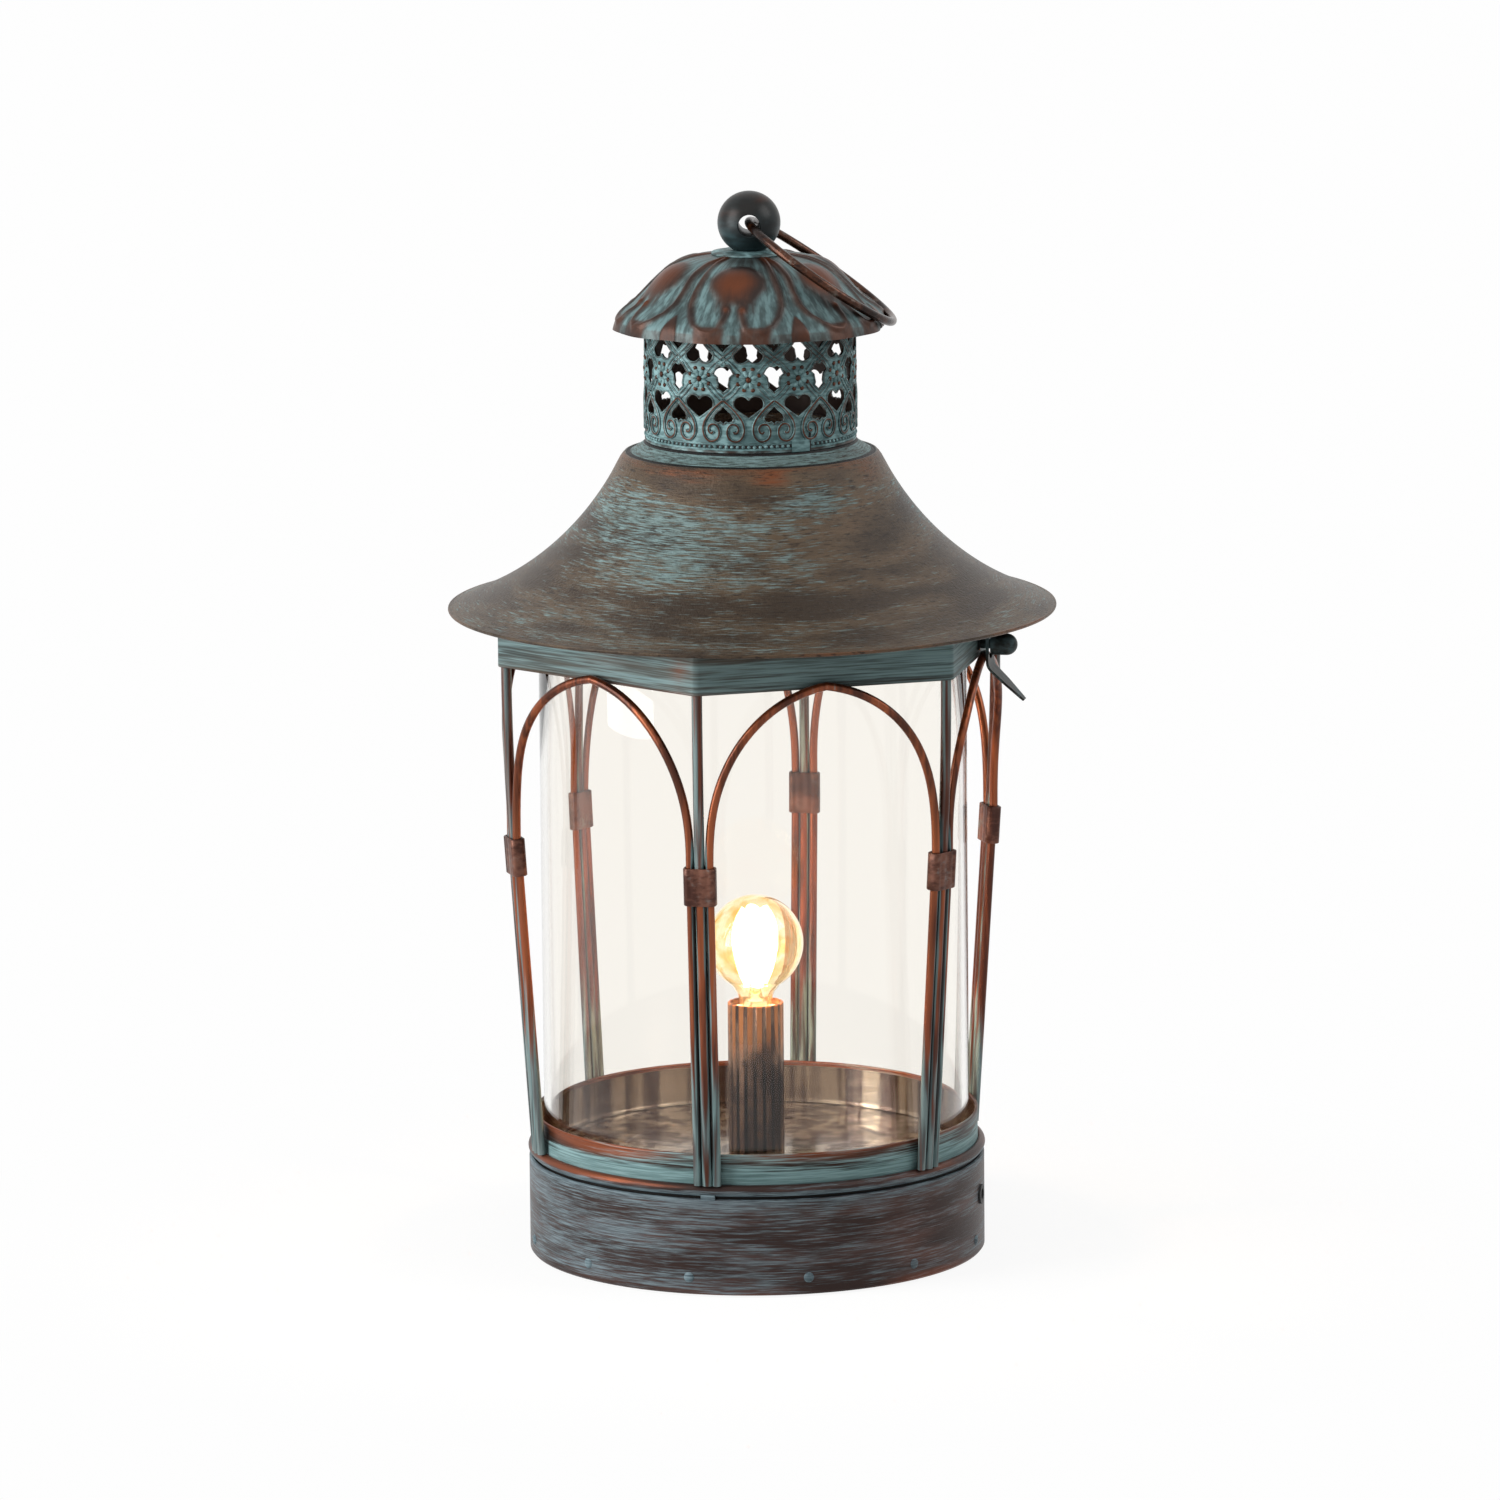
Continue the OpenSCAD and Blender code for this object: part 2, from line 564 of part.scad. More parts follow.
module through_band(turn, z) rotate([0, 0, turn - 90]) translate([neck_r - 4, 0, z]) rotate([90, 0, 90])
  linear_extrude(8) children();

module on_band(turn, z) rotate([0, 0, turn - 90]) translate([neck_r, 0, z]) rotate([0, 90, 0]) children();

module pierced_band() color("cadetblue") difference() {
  union() {
    translate([0, 0, neck_z + touch_gap]) cylinder(r = neck_r, h = band_top_z - neck_z - touch_gap);
    for (i = [0:flower_count - 1])
      on_band(flower_turn + band_gap_turn * i, flower_z) translate([0, 0, -0.7]) cylinder(r = 1.8, h = 1.3);
  }
  translate([0, 0, neck_z - cut]) cylinder(r = band_inner_r, h = 100);
  for (i = [0:flower_count - 1]) {
    on_flower = flower_turn + band_gap_turn * i;
    between = on_flower + band_gap_turn / 2;
    through_band(on_flower, flower_z - 12.6) heart(13.6, 9.8);
    through_band(on_flower, flower_z + 12.6) rotate(180) heart(13.6, 9.8);
    through_band(between, flower_z + 0.4) shield(10, 12.6);
    through_band(between, flower_z - 16.4) spade(9.6, 8);
    through_band(between, flower_z + 16.8) rotate(180) spade(9.6, 8);
  }
}

// The cap is a pressed shell: each petal swells in the middle and the rim is scalloped.
function petal_swell(turn, t) =
  petal_relief * sin(180 * pow(t, 0.8)) * (0.45 + 0.55 * cos(turn * petal_count));
function rim_scallop(turn, t) =
  pow(t, 4) * (0.8 * cos(turn * petal_count) - 0.4 * cos(2 * turn * petal_count));
function cap_point(t, turn, depth) =
  let (dr = cap_reach(min(1, t + 0.02)) - cap_reach(max(0, t - 0.02)),
       dz = cap_rise(min(1, t + 0.02)) - cap_rise(max(0, t - 0.02)),
       out = unit([-dz, dr]) * (petal_swell(turn, t) - depth))
  point_at(cap_reach(t) + out[0] + rim_scallop(turn, t), turn + petal_turn - 90, cap_rise(t) + out[1]);
function cap_eye(turn, depth) = point_at(screw_r + touch_gap, turn + petal_turn - 90, cap_top_z - depth);

module petal_cap() color("cadetblue") {
  n = cap_turns;
  rings = cap_steps + 2;
  skin = [for (depth = [0, cap_wall]) each concat(
    [for (j = [0:n - 1]) cap_eye(360 * j / n, depth)],
    [for (s = [0:cap_steps]) for (j = [0:n - 1]) cap_point(s / cap_steps, 360 * j / n, depth)])];
  under = rings * n;
  polyhedron(points = skin, faces = concat(
    [for (s = [0:rings - 2]) for (j = [0:n - 1])
      let (k = (j + 1) % n, a = s * n, b = a + n)
      each [[a + j, a + k, b + k], [a + j, b + k, b + j],
            [under + a + j, under + b + k, under + a + k], [under + a + j, under + b + j, under + b + k]]],
    [for (j = [0:n - 1]) let (k = (j + 1) % n, a = (rings - 1) * n)
      each [[a + j, a + k, under + a + k], [a + j, under + a + k, under + a + j]]],
    [for (j = [0:n - 1]) let (k = (j + 1) % n)
      each [[j, under + k, k], [j, under + j, under + k]]]));
}

module ball_washer() color("cadetblue") difference() {
  translate([0, 0, washer_low_z]) {
    cylinder(r = washer_r, h = washer_t / 2);
    translate([0, 0, washer_t / 2]) cylinder(r1 = washer_r, r2 = washer_r - 4, h = washer_t / 2);
  }
  translate([0, 0, washer_low_z - cut]) cylinder(r = screw_r + touch_gap, h = 10);
}

module ball_finial() color("slategray") difference() {
  translate([0, 0, ball_z]) sphere(ball_r);
  translate([-ball_r, -ball_r, ball_low_z - ball_r * 2]) cube([2 * ball_r, 2 * ball_r, 2 * ball_r]);
  translate([0, 0, ball_z]) rotate([90, 0, ball_turn]) cylinder(r = ball_hole_r, h = 3 * ball_r, center = true);
  translate([0, 0, ball_low_z - cut]) cylinder(r = screw_r + touch_gap, h = screw_top_z - ball_low_z + cut + 0.4);
}

module ball_screw() color("silver") {
  head_z = cap_top_z - cap_wall - touch_gap;
  translate([0, 0, head_z - 1]) cylinder(r = screw_r, h = screw_top_z - head_z + 1);
  translate([0, 0, head_z - 3]) cylinder(r = 4.5, h = 3);
}

module carrying_ring() color("peru") translate([0, 0, ball_z]) rotate([0, 0, ball_turn])
  rotate([0, handle_lean, 0]) translate([handle_r, 0, 0])
    rotate_extrude() translate([handle_r, 0]) circle(handle_wire_r);

module candle_sleeve() color("dimgray") translate([0, 0, pan_floor_z + touch_gap])
  linear_extrude(sleeve_top_z - pan_floor_z - touch_gap) difference() {
    circle(sleeve_r);
    circle(sleeve_r - sleeve_wall);
    for (i = [0:flute_count - 1]) rotate(360 * i / flute_count) translate([sleeve_r + 0.4, 0]) circle(1.1);
  }

module lampholder() color("ivory") difference() {
  translate([0, 0, holder_low_z]) cylinder(r = holder_r, h = holder_top_z - holder_low_z);
  translate([0, 0, screw_cap_low_z - 2.5]) cylinder(r = holder_bore_r, h = holder_top_z);
  translate([0, 0, holder_low_z - cut]) cylinder(r = nipple_r + touch_gap, h = 6 + cut);
}

module holder_contact() color("goldenrod") translate([0, 0, screw_cap_low_z - 2.4]) cylinder(r = 3, h = 2.3);

module holder_nipple() color("goldenrod") difference() {
  translate([0, 0, nipple_low_z]) cylinder(r = nipple_r, h = holder_low_z + 5.5 - nipple_low_z);
  translate([0, 0, nipple_low_z - cut]) cylinder(r = nipple_r - 1.4, h = holder_low_z);
}

module holder_nut() color("goldenrod") translate([0, 0, pan_low_z - touch_gap - nut_h]) difference() {
  cylinder(r = nut_r, h = nut_h, $fn = 6);
  translate([0, 0, -cut]) cylinder(r = nipple_r + touch_gap, h = nut_h + 2 * cut);
}

module bulb_outline(inset, low_z) {
  neck = screw_cap_r + 0.3 - inset;
  intersection() {
    translate([0, bulb_z]) circle(bulb_r - inset);
    translate([0, bulb_z - bulb_r]) square([bulb_r, 2 * bulb_r]);
  }
  polygon([[0, low_z], [neck, low_z], [neck + 0.3, neck_low_z + 4], [neck + 2, neck_low_z + 8],
    [neck + 5.6, bulb_z - bulb_r * 0.78], [neck + 5.6, bulb_z - bulb_r * 0.6], [0, bulb_z - bulb_r * 0.6]]);
}

module bulb_glass() color([1, 0.95, 0.85, 0.4]) rotate_extrude() difference() {
  bulb_outline(0, neck_low_z);
  bulb_outline(bulb_wall, neck_low_z - cut);
}

module bulb_screw_cap() color("silver") rotate_extrude() {
  translate([0, screw_cap_low_z + 1.5]) square([screw_cap_r, neck_low_z - touch_gap - screw_cap_low_z - 1.5]);
  translate([0, screw_cap_low_z]) square([4, 2.5]);
  for (t = [0:3]) translate([screw_cap_r - 0.15, screw_cap_low_z + 6 + 2.8 * t]) circle(0.3);
}

module bulb_filament() color("gold") {
  for (side = [-1, 1]) translate([side * 4, 0, neck_low_z + touch_gap]) cylinder(r = 0.45, h = bulb_z - neck_low_z - 1);
  translate([0, 0, neck_low_z + touch_gap]) cylinder(r = screw_cap_r - bulb_wall - 0.4, h = 1.2);
  translate([0, 0, bulb_z - 1.4]) rotate([90, 0, 0]) rotate_extrude(angle = 180) translate([4, 0]) circle(0.5);
}

base_drum();
base_plate();
base_felt();
cable_grommet();
glass_pan();
glass_chimney();
for (i = [1:6]) post_rod(i);
for (i = [1:6]) arch_wire(i);
for (i = [1:6]) post_clip(i);
top_ring();
hinge_leaf_ring();
hinge_leaf_roof();
hinge_pin();
latch_knob();
hasp();
hasp_pin();
hasp_bracket();
roof_bell();
pierced_band();
petal_cap();
ball_washer();
ball_finial();
ball_screw();
carrying_ring();
candle_sleeve();
lampholder();
holder_contact();
holder_nipple();
holder_nut();
bulb_glass();
bulb_screw_cap();
bulb_filament();
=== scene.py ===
import math

import bpy
import numpy as np
from mathutils import Matrix, Vector
from mathutils.geometry import delaunay_2d_cdt


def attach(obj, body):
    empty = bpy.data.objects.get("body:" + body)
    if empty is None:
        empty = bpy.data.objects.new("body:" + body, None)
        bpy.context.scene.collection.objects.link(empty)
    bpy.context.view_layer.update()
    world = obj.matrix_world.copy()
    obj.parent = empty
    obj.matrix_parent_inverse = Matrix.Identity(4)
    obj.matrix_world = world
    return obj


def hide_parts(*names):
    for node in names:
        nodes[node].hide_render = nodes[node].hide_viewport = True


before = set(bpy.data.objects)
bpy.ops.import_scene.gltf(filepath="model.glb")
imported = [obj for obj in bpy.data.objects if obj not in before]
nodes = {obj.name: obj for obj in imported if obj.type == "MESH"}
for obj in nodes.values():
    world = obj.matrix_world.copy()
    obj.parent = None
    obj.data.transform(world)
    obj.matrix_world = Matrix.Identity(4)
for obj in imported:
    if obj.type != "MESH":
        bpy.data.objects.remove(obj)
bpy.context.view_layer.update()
print("frame loaded with", len(nodes), "nodes")

mm = 0.001


# Small helpers for meshes.

def polar(radius, turn, height):
    return (radius * math.cos(math.radians(turn)), radius * math.sin(math.radians(turn)), height)


def axesAt(turn):
    # unit vectors out from the lamp's axis and along its round, at an azimuth in degrees
    return Vector(polar(1, turn, 0)), Vector(polar(1, turn + 90, 0))


def lerp(a, b, share):
    return a + (b - a) * share


def limited(value):
    return min(1.0, max(0.0, value))


def gridFaces(rows, columns, closeRows, closeColumns, first=0):
    # quads of a grid whose points are numbered row by row
    faces = []
    for i in range(rows if closeRows else rows - 1):
        here, after = first + i * columns, first + (i + 1) % rows * columns
        for j in range(columns if closeColumns else columns - 1):
            k = (j + 1) % columns
            faces.append((here + j, here + k, after + k, after + j))
    return faces


def smoothPath(rows, per=4):
    # a curve through all the points, with some steps between each two
    p = [Vector(r) for r in rows]
    if len(p) < 3:
        return rows
    out = []
    for i in range(len(p) - 1):
        a, b, c, d = p[max(i - 1, 0)], p[i], p[i + 1], p[min(i + 2, len(p) - 1)]
        for s in range(per):
            t = s / per
            out.append(tuple(0.5 * ((2 * b) + (c - a) * t + (2 * a - 5 * b + 4 * c - d) * t * t
                                    + (3 * b - a - 3 * c + d) * t ** 3)))
    out.append(tuple(p[-1]))
    return out


def insideLoop(loop, x, y):
    # which of the places x, y (arrays) lie inside a closed loop
    hit = np.zeros(np.shape(x), bool)
    for (xa, ya), (xb, yb) in zip(loop, np.roll(loop, -1, 0)):
        with np.errstate(divide="ignore", invalid="ignore"):
            hit ^= ((ya > y) != (yb > y)) & (x < (xb - xa) * (y - ya) / (yb - ya) + xa)
    return hit


def newMesh(name, points, faces, edges=(), wearAndShade=None, creaseDeg=35):
    mesh = bpy.data.meshes.new(name)
    mesh.from_pydata([tuple(c * mm for c in p) for p in points], list(edges), [tuple(f) for f in faces])
    if wearAndShade is not None:
        layer = mesh.attributes.new("wearAndShade", "FLOAT", "POINT")
        layer.data.foreach_set("value", np.array(wearAndShade, np.float32))
    if faces:
        mesh.shade_smooth()
        mesh.set_sharp_from_angle(angle=math.radians(creaseDeg))
    mesh.update()
    return mesh


def faceOutwards(points, faces):
    p = np.array(points, float)
    volume = 0.0
    for f in faces:
        for i in range(1, len(f) - 1):
            volume += float(np.dot(p[f[0]], np.cross(p[f[i]], p[f[i + 1]])))
    return faces if volume > 0 else [tuple(reversed(f)) for f in faces]


def placePiece(name, mesh, body, material, stands=()):
    piece = bpy.data.objects.new(name, mesh)
    bpy.context.scene.collection.objects.link(piece)
    kinds = [polygon.material_index for polygon in mesh.polygons]
    mesh.materials.clear()
    for one in material if isinstance(material, (list, tuple)) else [material]:
        mesh.materials.append(one)
    mesh.polygons.foreach_set("material_index", kinds)
    if stands:
        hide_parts(*stands)
    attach(piece, body)
    return piece


def revolve(outline, segments, start=0.0, sweep=360.0):
    # outline is a closed list of (radius, height) or (radius, height, wear), in mm
    whole = sweep >= 360
    turns = segments if whole else segments + 1
    points, wearAndShade = [], []
    for j in range(turns):
        turn = start + sweep * j / segments
        for row in outline:
            points.append(polar(row[0], turn, row[1]))
            wearAndShade.append(row[2] if len(row) > 2 else 0.0)
    n = len(outline)
    faces = gridFaces(turns, n, whole, True)
    if not whole:
        faces.append(tuple(range(n)))
        faces.append(tuple(reversed(range(segments * n, (segments + 1) * n))))
    return points, faceOutwards(points, faces), wearAndShade


def arcPoints(middle, radius, first, last, steps, wearAndShade=0.0):
    rows = []
    for s in range(steps + 1):
        a = math.radians(lerp(first, last, s / steps))
        rows.append((middle[0] + radius * math.cos(a), middle[1] + radius * math.sin(a), wearAndShade))
    return rows


def brushed(points, wearAndShade, patches):
    # the brush left more patina or less round some spots, each given as
    # (turn from the front, height, spread in degrees, spread in mm, amount added to wear)
    for i, (x, y, z) in enumerate(points):
        if wearAndShade[i] > -0.9:
            fromFront = math.degrees(math.atan2(y, x)) + 90
            for turn, high, wide, tall, amount in patches:
                off = (fromFront - turn + 180) % 360 - 180
                wearAndShade[i] += amount * math.exp(-(off / wide) ** 2 - ((z - high) / tall) ** 2)


def turnedMesh(name, outline, segments, patches=(), creaseDeg=35):
    points, faces, wearAndShade = revolve(outline, segments)
    brushed(points, wearAndShade, patches)
    return newMesh(name, points, faces, wearAndShade=wearAndShade, creaseDeg=creaseDeg)


def partsMesh(name, parts, creaseDeg=35, patches=()):
    # one mesh of several loose parts, each (points, faces, wear)
    points, faces, wearAndShade = [], [], []
    for p, f, w in parts:
        base = len(points)
        points += list(p)
        faces += [tuple(base + i for i in one) for one in f]
        wearAndShade += list(w)
    brushed(points, wearAndShade, patches)
    return newMesh(name, points, faces, wearAndShade=wearAndShade, creaseDeg=creaseDeg)


def blob(middle, axes, sizes, around=8, up=4, wearAndShade=0.0, whole=True):
    # a small ellipsoid, or its upper half; axes are three unit vectors, sizes the three half lengths
    points = []
    rows = range(1, up) if whole else range(0, up)
    for i in rows:
        tip = math.pi * i / up - math.pi / 2 if whole else 0.5 * math.pi * i / up
        for j in range(around):
            a = 2 * math.pi * j / around
            local = (sizes[0] * math.cos(tip) * math.cos(a), sizes[1] * math.cos(tip) * math.sin(a),
                     sizes[2] * math.sin(tip))
            points.append(tuple(middle[c] + sum(local[k] * axes[k][c] for k in range(3)) for c in range(3)))
    count = len(rows)
    faces = gridFaces(count, around, False, True)
    points.append(tuple(middle[c] + sizes[2] * axes[2][c] for c in range(3)))
    top = len(points) - 1
    faces += [((count - 1) * around + j, (count - 1) * around + (j + 1) % around, top) for j in range(around)]
    if whole:
        points.append(tuple(middle[c] - sizes[2] * axes[2][c] for c in range(3)))
        low = len(points) - 1
        faces += [((j + 1) % around, j, low) for j in range(around)]
    else:
        faces.append(tuple(reversed(range(around))))
    return points, faces, [wearAndShade] * len(points)


# Colours and shader nodes.

def hexColour(code):
    values = [int(code[i:i + 2], 16) / 255 for i in (1, 3, 5)]
    return tuple(v / 12.92 if v <= 0.04045 else ((v + 0.055) / 1.055) ** 2.4 for v in values) + (1.0,)


def addNode(tree, kind, values=None, **settings):
    node = tree.nodes.new(kind)
    for key, value in settings.items():
        setattr(node, key, value)
    for key, value in (values or {}).items():
        socket = node.inputs[key]
        if isinstance(value, bpy.types.NodeSocket):
            tree.links.new(value, socket)
        else:
            socket.default_value = value
    return node


def seenRay(tree):
    # 1 where the camera looks straight at something, through glass or by a reflection
    path = addNode(tree, "ShaderNodeLightPath").outputs
    seen = addNode(tree, "ShaderNodeMath", {0: path["Is Camera Ray"], 1: path["Is Transmission Ray"]},
                   operation="MAXIMUM").outputs[0]
    return addNode(tree, "ShaderNodeMath", {0: seen, 1: path["Is Glossy Ray"]}, operation="MAXIMUM").outputs[0]


def fadeBetween(tree, a, b, value, low, high, top=1.0):
    # colour a up to where a pattern's value is low, then softly over to b
    share = addNode(tree, "ShaderNodeMapRange", {0: value, 1: low, 2: high, 4: top}, interpolation_type="SMOOTHSTEP")
    return addNode(tree, "ShaderNodeMix", {0: share.outputs[0], 6: a, 7: b}, data_type="RGBA").outputs[2]


def newMaterial(name):
    material = bpy.data.materials.new(name)
    material.use_nodes = True
    material.node_tree.nodes.clear()
    return material, material.node_tree


def wipedPatina(name, look):
    # Blue-green patina brushed over dark bronze lacquer on sheet iron, then wiped: thin streaks that
    # follow the brush, bare lacquer between them, and copper where an edge or a raised part is rubbed.
    # Wear runs from 1 (rubbed) through 0 (as the streaks fall) to -1, a crevice where shade is painted in as a dark
    # colour.
    material, tree = newMaterial(name)
    place = addNode(tree, "ShaderNodeTexCoord").outputs["Object"]
    parts = addNode(tree, "ShaderNodeSeparateXYZ", {0: place}).outputs
    flat = addNode(tree, "ShaderNodeVectorMath", {0: place, 1: (1, 1, 0)}, operation="MULTIPLY").outputs[0]
    radius = addNode(tree, "ShaderNodeVectorMath", {0: flat}, operation="LENGTH").outputs["Value"]
    if look.get("fan"):
        # the cap is brushed along its petals, so its streaks run out from the lamp's axis
        fanRadius = 0.04
        flat = addNode(tree, "ShaderNodeVectorMath", {0: flat}, operation="NORMALIZE").outputs[0]
        flat = addNode(tree, "ShaderNodeVectorMath", {0: flat, 3: fanRadius}, operation="SCALE").outputs[0]
    sides = addNode(tree, "ShaderNodeSeparateXYZ", {0: flat}).outputs
    outwards, upwards = look["slope"]
    run = addNode(tree, "ShaderNodeMath", {0: radius, 1: outwards}, operation="MULTIPLY").outputs[0]
    run = addNode(tree, "ShaderNodeMath", {0: parts["Z"], 1: upwards, 2: run}, operation="MULTIPLY_ADD").outputs[0]
    spread = addNode(tree, "ShaderNodeCombineXYZ", {"X": sides["X"], "Y": sides["Y"], "Z": run}).outputs[0]

    def noise(acrossMm, downMm, detail, rough, shift):
        # fractal noise about zero, one cycle in that many mm across and down
        scale = (1000 / acrossMm, 1000 / acrossMm, 1000 / downMm)
        vector = addNode(tree, "ShaderNodeMapping", {"Vector": spread, "Location": shift, "Scale": scale})
        value = addNode(tree, "ShaderNodeTexNoise", {
            "Vector": vector.outputs[0], "Scale": 1.0, "Detail": detail, "Roughness": rough}).outputs[0]
        return addNode(tree, "ShaderNodeMath", {0: value, 1: 0.5}, operation="SUBTRACT").outputs[0]

    def weighted(total, *patterns):
        # a number or pattern plus some more, each with its share
        for pattern, share in patterns:
            total = addNode(tree, "ShaderNodeMath", {0: pattern, 1: share, 2: total},
                            operation="MULTIPLY_ADD").outputs[0]
        return total

    across, down = look["streakMm"]
    streak = noise(across, down, look["detail"], 0.62, (3.1, 7.7, 1.3))
    broad = noise(*look["broadMm"], 2, 0.5, (11.0, 2.0, 5.0))
    hair = noise(across * 0.6, down * 0.3, look["detail"] - 1, 0.6, (0.4, 9.2, 4.4))
    wearAndShade = addNode(tree, "ShaderNodeAttribute", attribute_name="wearAndShade").outputs["Fac"]

    copper = weighted(wearAndShade, (streak, 0.5 * look["uneven"]), (broad, 0.9 * look["uneven"]))
    copper = addNode(tree, "ShaderNodeMapRange", {0: copper, 1: 0.22, 2: 0.62},
                     interpolation_type="SMOOTHSTEP").outputs[0]
    amount = weighted(look["cover"], (hair, look["hairy"]), (broad, look["patchy"]), (streak, look["streaky"]),
                      (wearAndShade, -look["rubbed"]))
    # a pressed dot or a hollow, where wear is under -0.3, keeps all of its patina
    kept = addNode(tree, "ShaderNodeMapRange", {0: wearAndShade, 1: -0.3, 2: -0.5, 4: 1 - look["opacity"]},
                   interpolation_type="SMOOTHSTEP").outputs[0]
    kept = addNode(tree, "ShaderNodeMath", {0: kept, 1: look["opacity"]}, operation="ADD").outputs[0]
    patina = addNode(tree, "ShaderNodeMapRange", {0: amount, 1: -look["soft"], 2: look["soft"]},
                     interpolation_type="SMOOTHSTEP").outputs[0]
    patina = addNode(tree, "ShaderNodeMath", {0: patina, 1: kept}, operation="MULTIPLY").outputs[0]
    bare = fadeBetween(tree, hexColour(look["dark"]), hexColour(look["bronze"]), weighted(broad, (hair, 0.5)),
                       -0.14, 0.14)
    bare = addNode(tree, "ShaderNodeMix", {0: copper, 6: bare, 7: hexColour(look["copper"])},
                   data_type="RGBA").outputs[2]
    coat = fadeBetween(tree, hexColour(look["patinaDeep"]), hexColour(look["patina"]), weighted(streak, (hair, 1.0)),
                       -0.16, 0.22)
    colour = addNode(tree, "ShaderNodeMix", {0: patina, 6: bare, 7: coat}, data_type="RGBA").outputs[2]
    if look.get("crackMm"):
        # fine dark crackle in lacquer and patina alike
        crack = noise(*look["crackMm"], 3, 0.65, (5.5, 1.2, 8.1))
        colour = fadeBetween(tree, colour, hexColour(look["crack"]), crack, -0.02, -0.17, look["cracked"])
    # painted shade: a crevice, where wear is given as -1, is darkened to near black
    paintedCreviceShade = hexColour("#0d0a09")
    colour = fadeBetween(tree, colour, paintedCreviceShade, wearAndShade, -0.6, -0.95)
    rough = addNode(tree, "ShaderNodeMapRange", {0: patina, 3: look["bareRough"], 4: look["coatRough"]}).outputs[0]
    bareMetal = weighted(look["metal"], (copper, look["copperMetal"] - look["metal"]))
    wiped = addNode(tree, "ShaderNodeMath", {0: 1.0, 1: patina}, operation="SUBTRACT").outputs[0]
    metal = addNode(tree, "ShaderNodeMath", {0: bareMetal, 1: wiped}, operation="MULTIPLY").outputs[0]
    height = weighted(streak, (patina, 0.4), (hair, 0.6))
    if look.get("grainMm"):
        # crackle of the thick lacquer
        peel = addNode(tree, "ShaderNodeTexNoise", {
            "Vector": place, "Scale": 1000 / look["grainMm"], "Detail": 3.0, "Roughness": 0.6}).outputs[0]
        height = weighted(height, (peel, 2.0))
    bump = addNode(tree, "ShaderNodeBump", {
        "Strength": look["bump"], "Distance": 0.4 * mm, "Height": height}).outputs[0]
    shader = addNode(tree, "ShaderNodeBsdfPrincipled", {
        "Base Color": colour, "Roughness": rough, "Metallic": metal, "Normal": bump,
        "Specular IOR Level": look["shine"]})
    addNode(tree, "ShaderNodeOutputMaterial", {"Surface": shader.outputs[0]})
    return material


bronzeLook = {
    "dark": "#2e2420", "bronze": "#4c3b33", "copper": "#74402a",  # bare lacquer in two tones, rubbed metal
    "patina": "#809a9d", "patinaDeep": "#536b6c",
    "streakMm": (26.0, 0.9), "broadMm": (70.0, 9.0),  # one cycle round the lamp and one down it
    "slope": (0.0, 1.0),  # how far a step outwards and a step upwards count as down the streaks
    "detail": 3,  # of the streaks
    "cover": -0.08, "opacity": 0.75, "soft": 0.45,  # how much patina, how dense, how soft its rims
    "streaky": 2.4, "hairy": 0.9, "patchy": 1.5,  # share of streaks, hairlines and broad clouds in it
    "rubbed": 1.3, "uneven": 1.0,  # patina lost where wear is high, and how ragged the copper shows
    "bareRough": 0.4, "coatRough": 0.52, "metal": 0.25, "copperMetal": 0.6, "shine": 0.15, "bump": 0.3,
}
# Sheet drum: close level streaks of grey-blue over brown, nearly matt.
drumPatina = wipedPatina("wipedPatinaDrum", {
    **bronzeLook, "bronze": "#4f3b36", "dark": "#332623", "patina": "#7c8f96", "patinaDeep": "#4d5d64",
    "cover": -0.06, "opacity": 0.74, "streakMm": (17.0, 0.75), "detail": 4})
# Shallow pan: mostly blue-green, copper where its rim is rubbed.
panPatina = wipedPatina("wipedPatinaPan", {
    **bronzeLook, "cover": 0.42, "streakMm": (34.0, 1.3), "opacity": 0.92, "patina": "#88a8aa", "patinaDeep": "#638182",
    "soft": 0.4, "streaky": 1.8, "rubbed": 1.7, "copper": "#7c442c", "bronze": "#4d3226", "dark": "#2b1b14",
    "metal": 0.45})
# Six-sided ring: long soft blue-green streaks with bronze between them.
ringPatina = wipedPatina("wipedPatinaRing", {
    **bronzeLook, "cover": 0.2, "streakMm": (60.0, 2.6), "opacity": 0.84, "patina": "#88a6a8", "patinaDeep": "#556b6c",
    "broadMm": (90.0, 14.0), "streaky": 1.5, "soft": 0.6, "bronze": "#544335", "dark": "#2c221b"})
# Bell: brown lacquer with short dark cracks, blue-green left in broad patches.
roofPatina = wipedPatina("wipedPatinaRoof", {
    **bronzeLook, "slope": (-0.8, 0.6), "streakMm": (10.0, 0.75), "broadMm": (60.0, 16.0), "cover": -0.25,
    "dark": "#382d23", "bronze": "#5a4a39", "grainMm": 1.5, "bump": 0.6, "patchy": 1.0, "opacity": 0.8, "soft": 0.26,
    "patina": "#84a0a1", "patinaDeep": "#4e625f", "detail": 5, "copper": "#6c3d24", "rubbed": 1.7, "shine": 0.25,
    "crackMm": (6.0, 0.85), "crack": "#231912", "cracked": 0.85})
# Pierced sheet: even blue-green, dark in its hollows and copper on raised lines.
bandPatina = wipedPatina("wipedPatinaBand", {
    **bronzeLook, "cover": 0.3, "streakMm": (9.0, 5.0), "broadMm": (30.0, 24.0), "patina": "#84a8aa",
    "patinaDeep": "#527072", "copper": "#5a301c", "dark": "#20120b", "bronze": "#3f2417", "opacity": 0.94,
    "streaky": 1.2, "hairy": 0.6, "patchy": 0.9, "rubbed": 2.1, "uneven": 0.5, "metal": 0.4, "shine": 0.3})
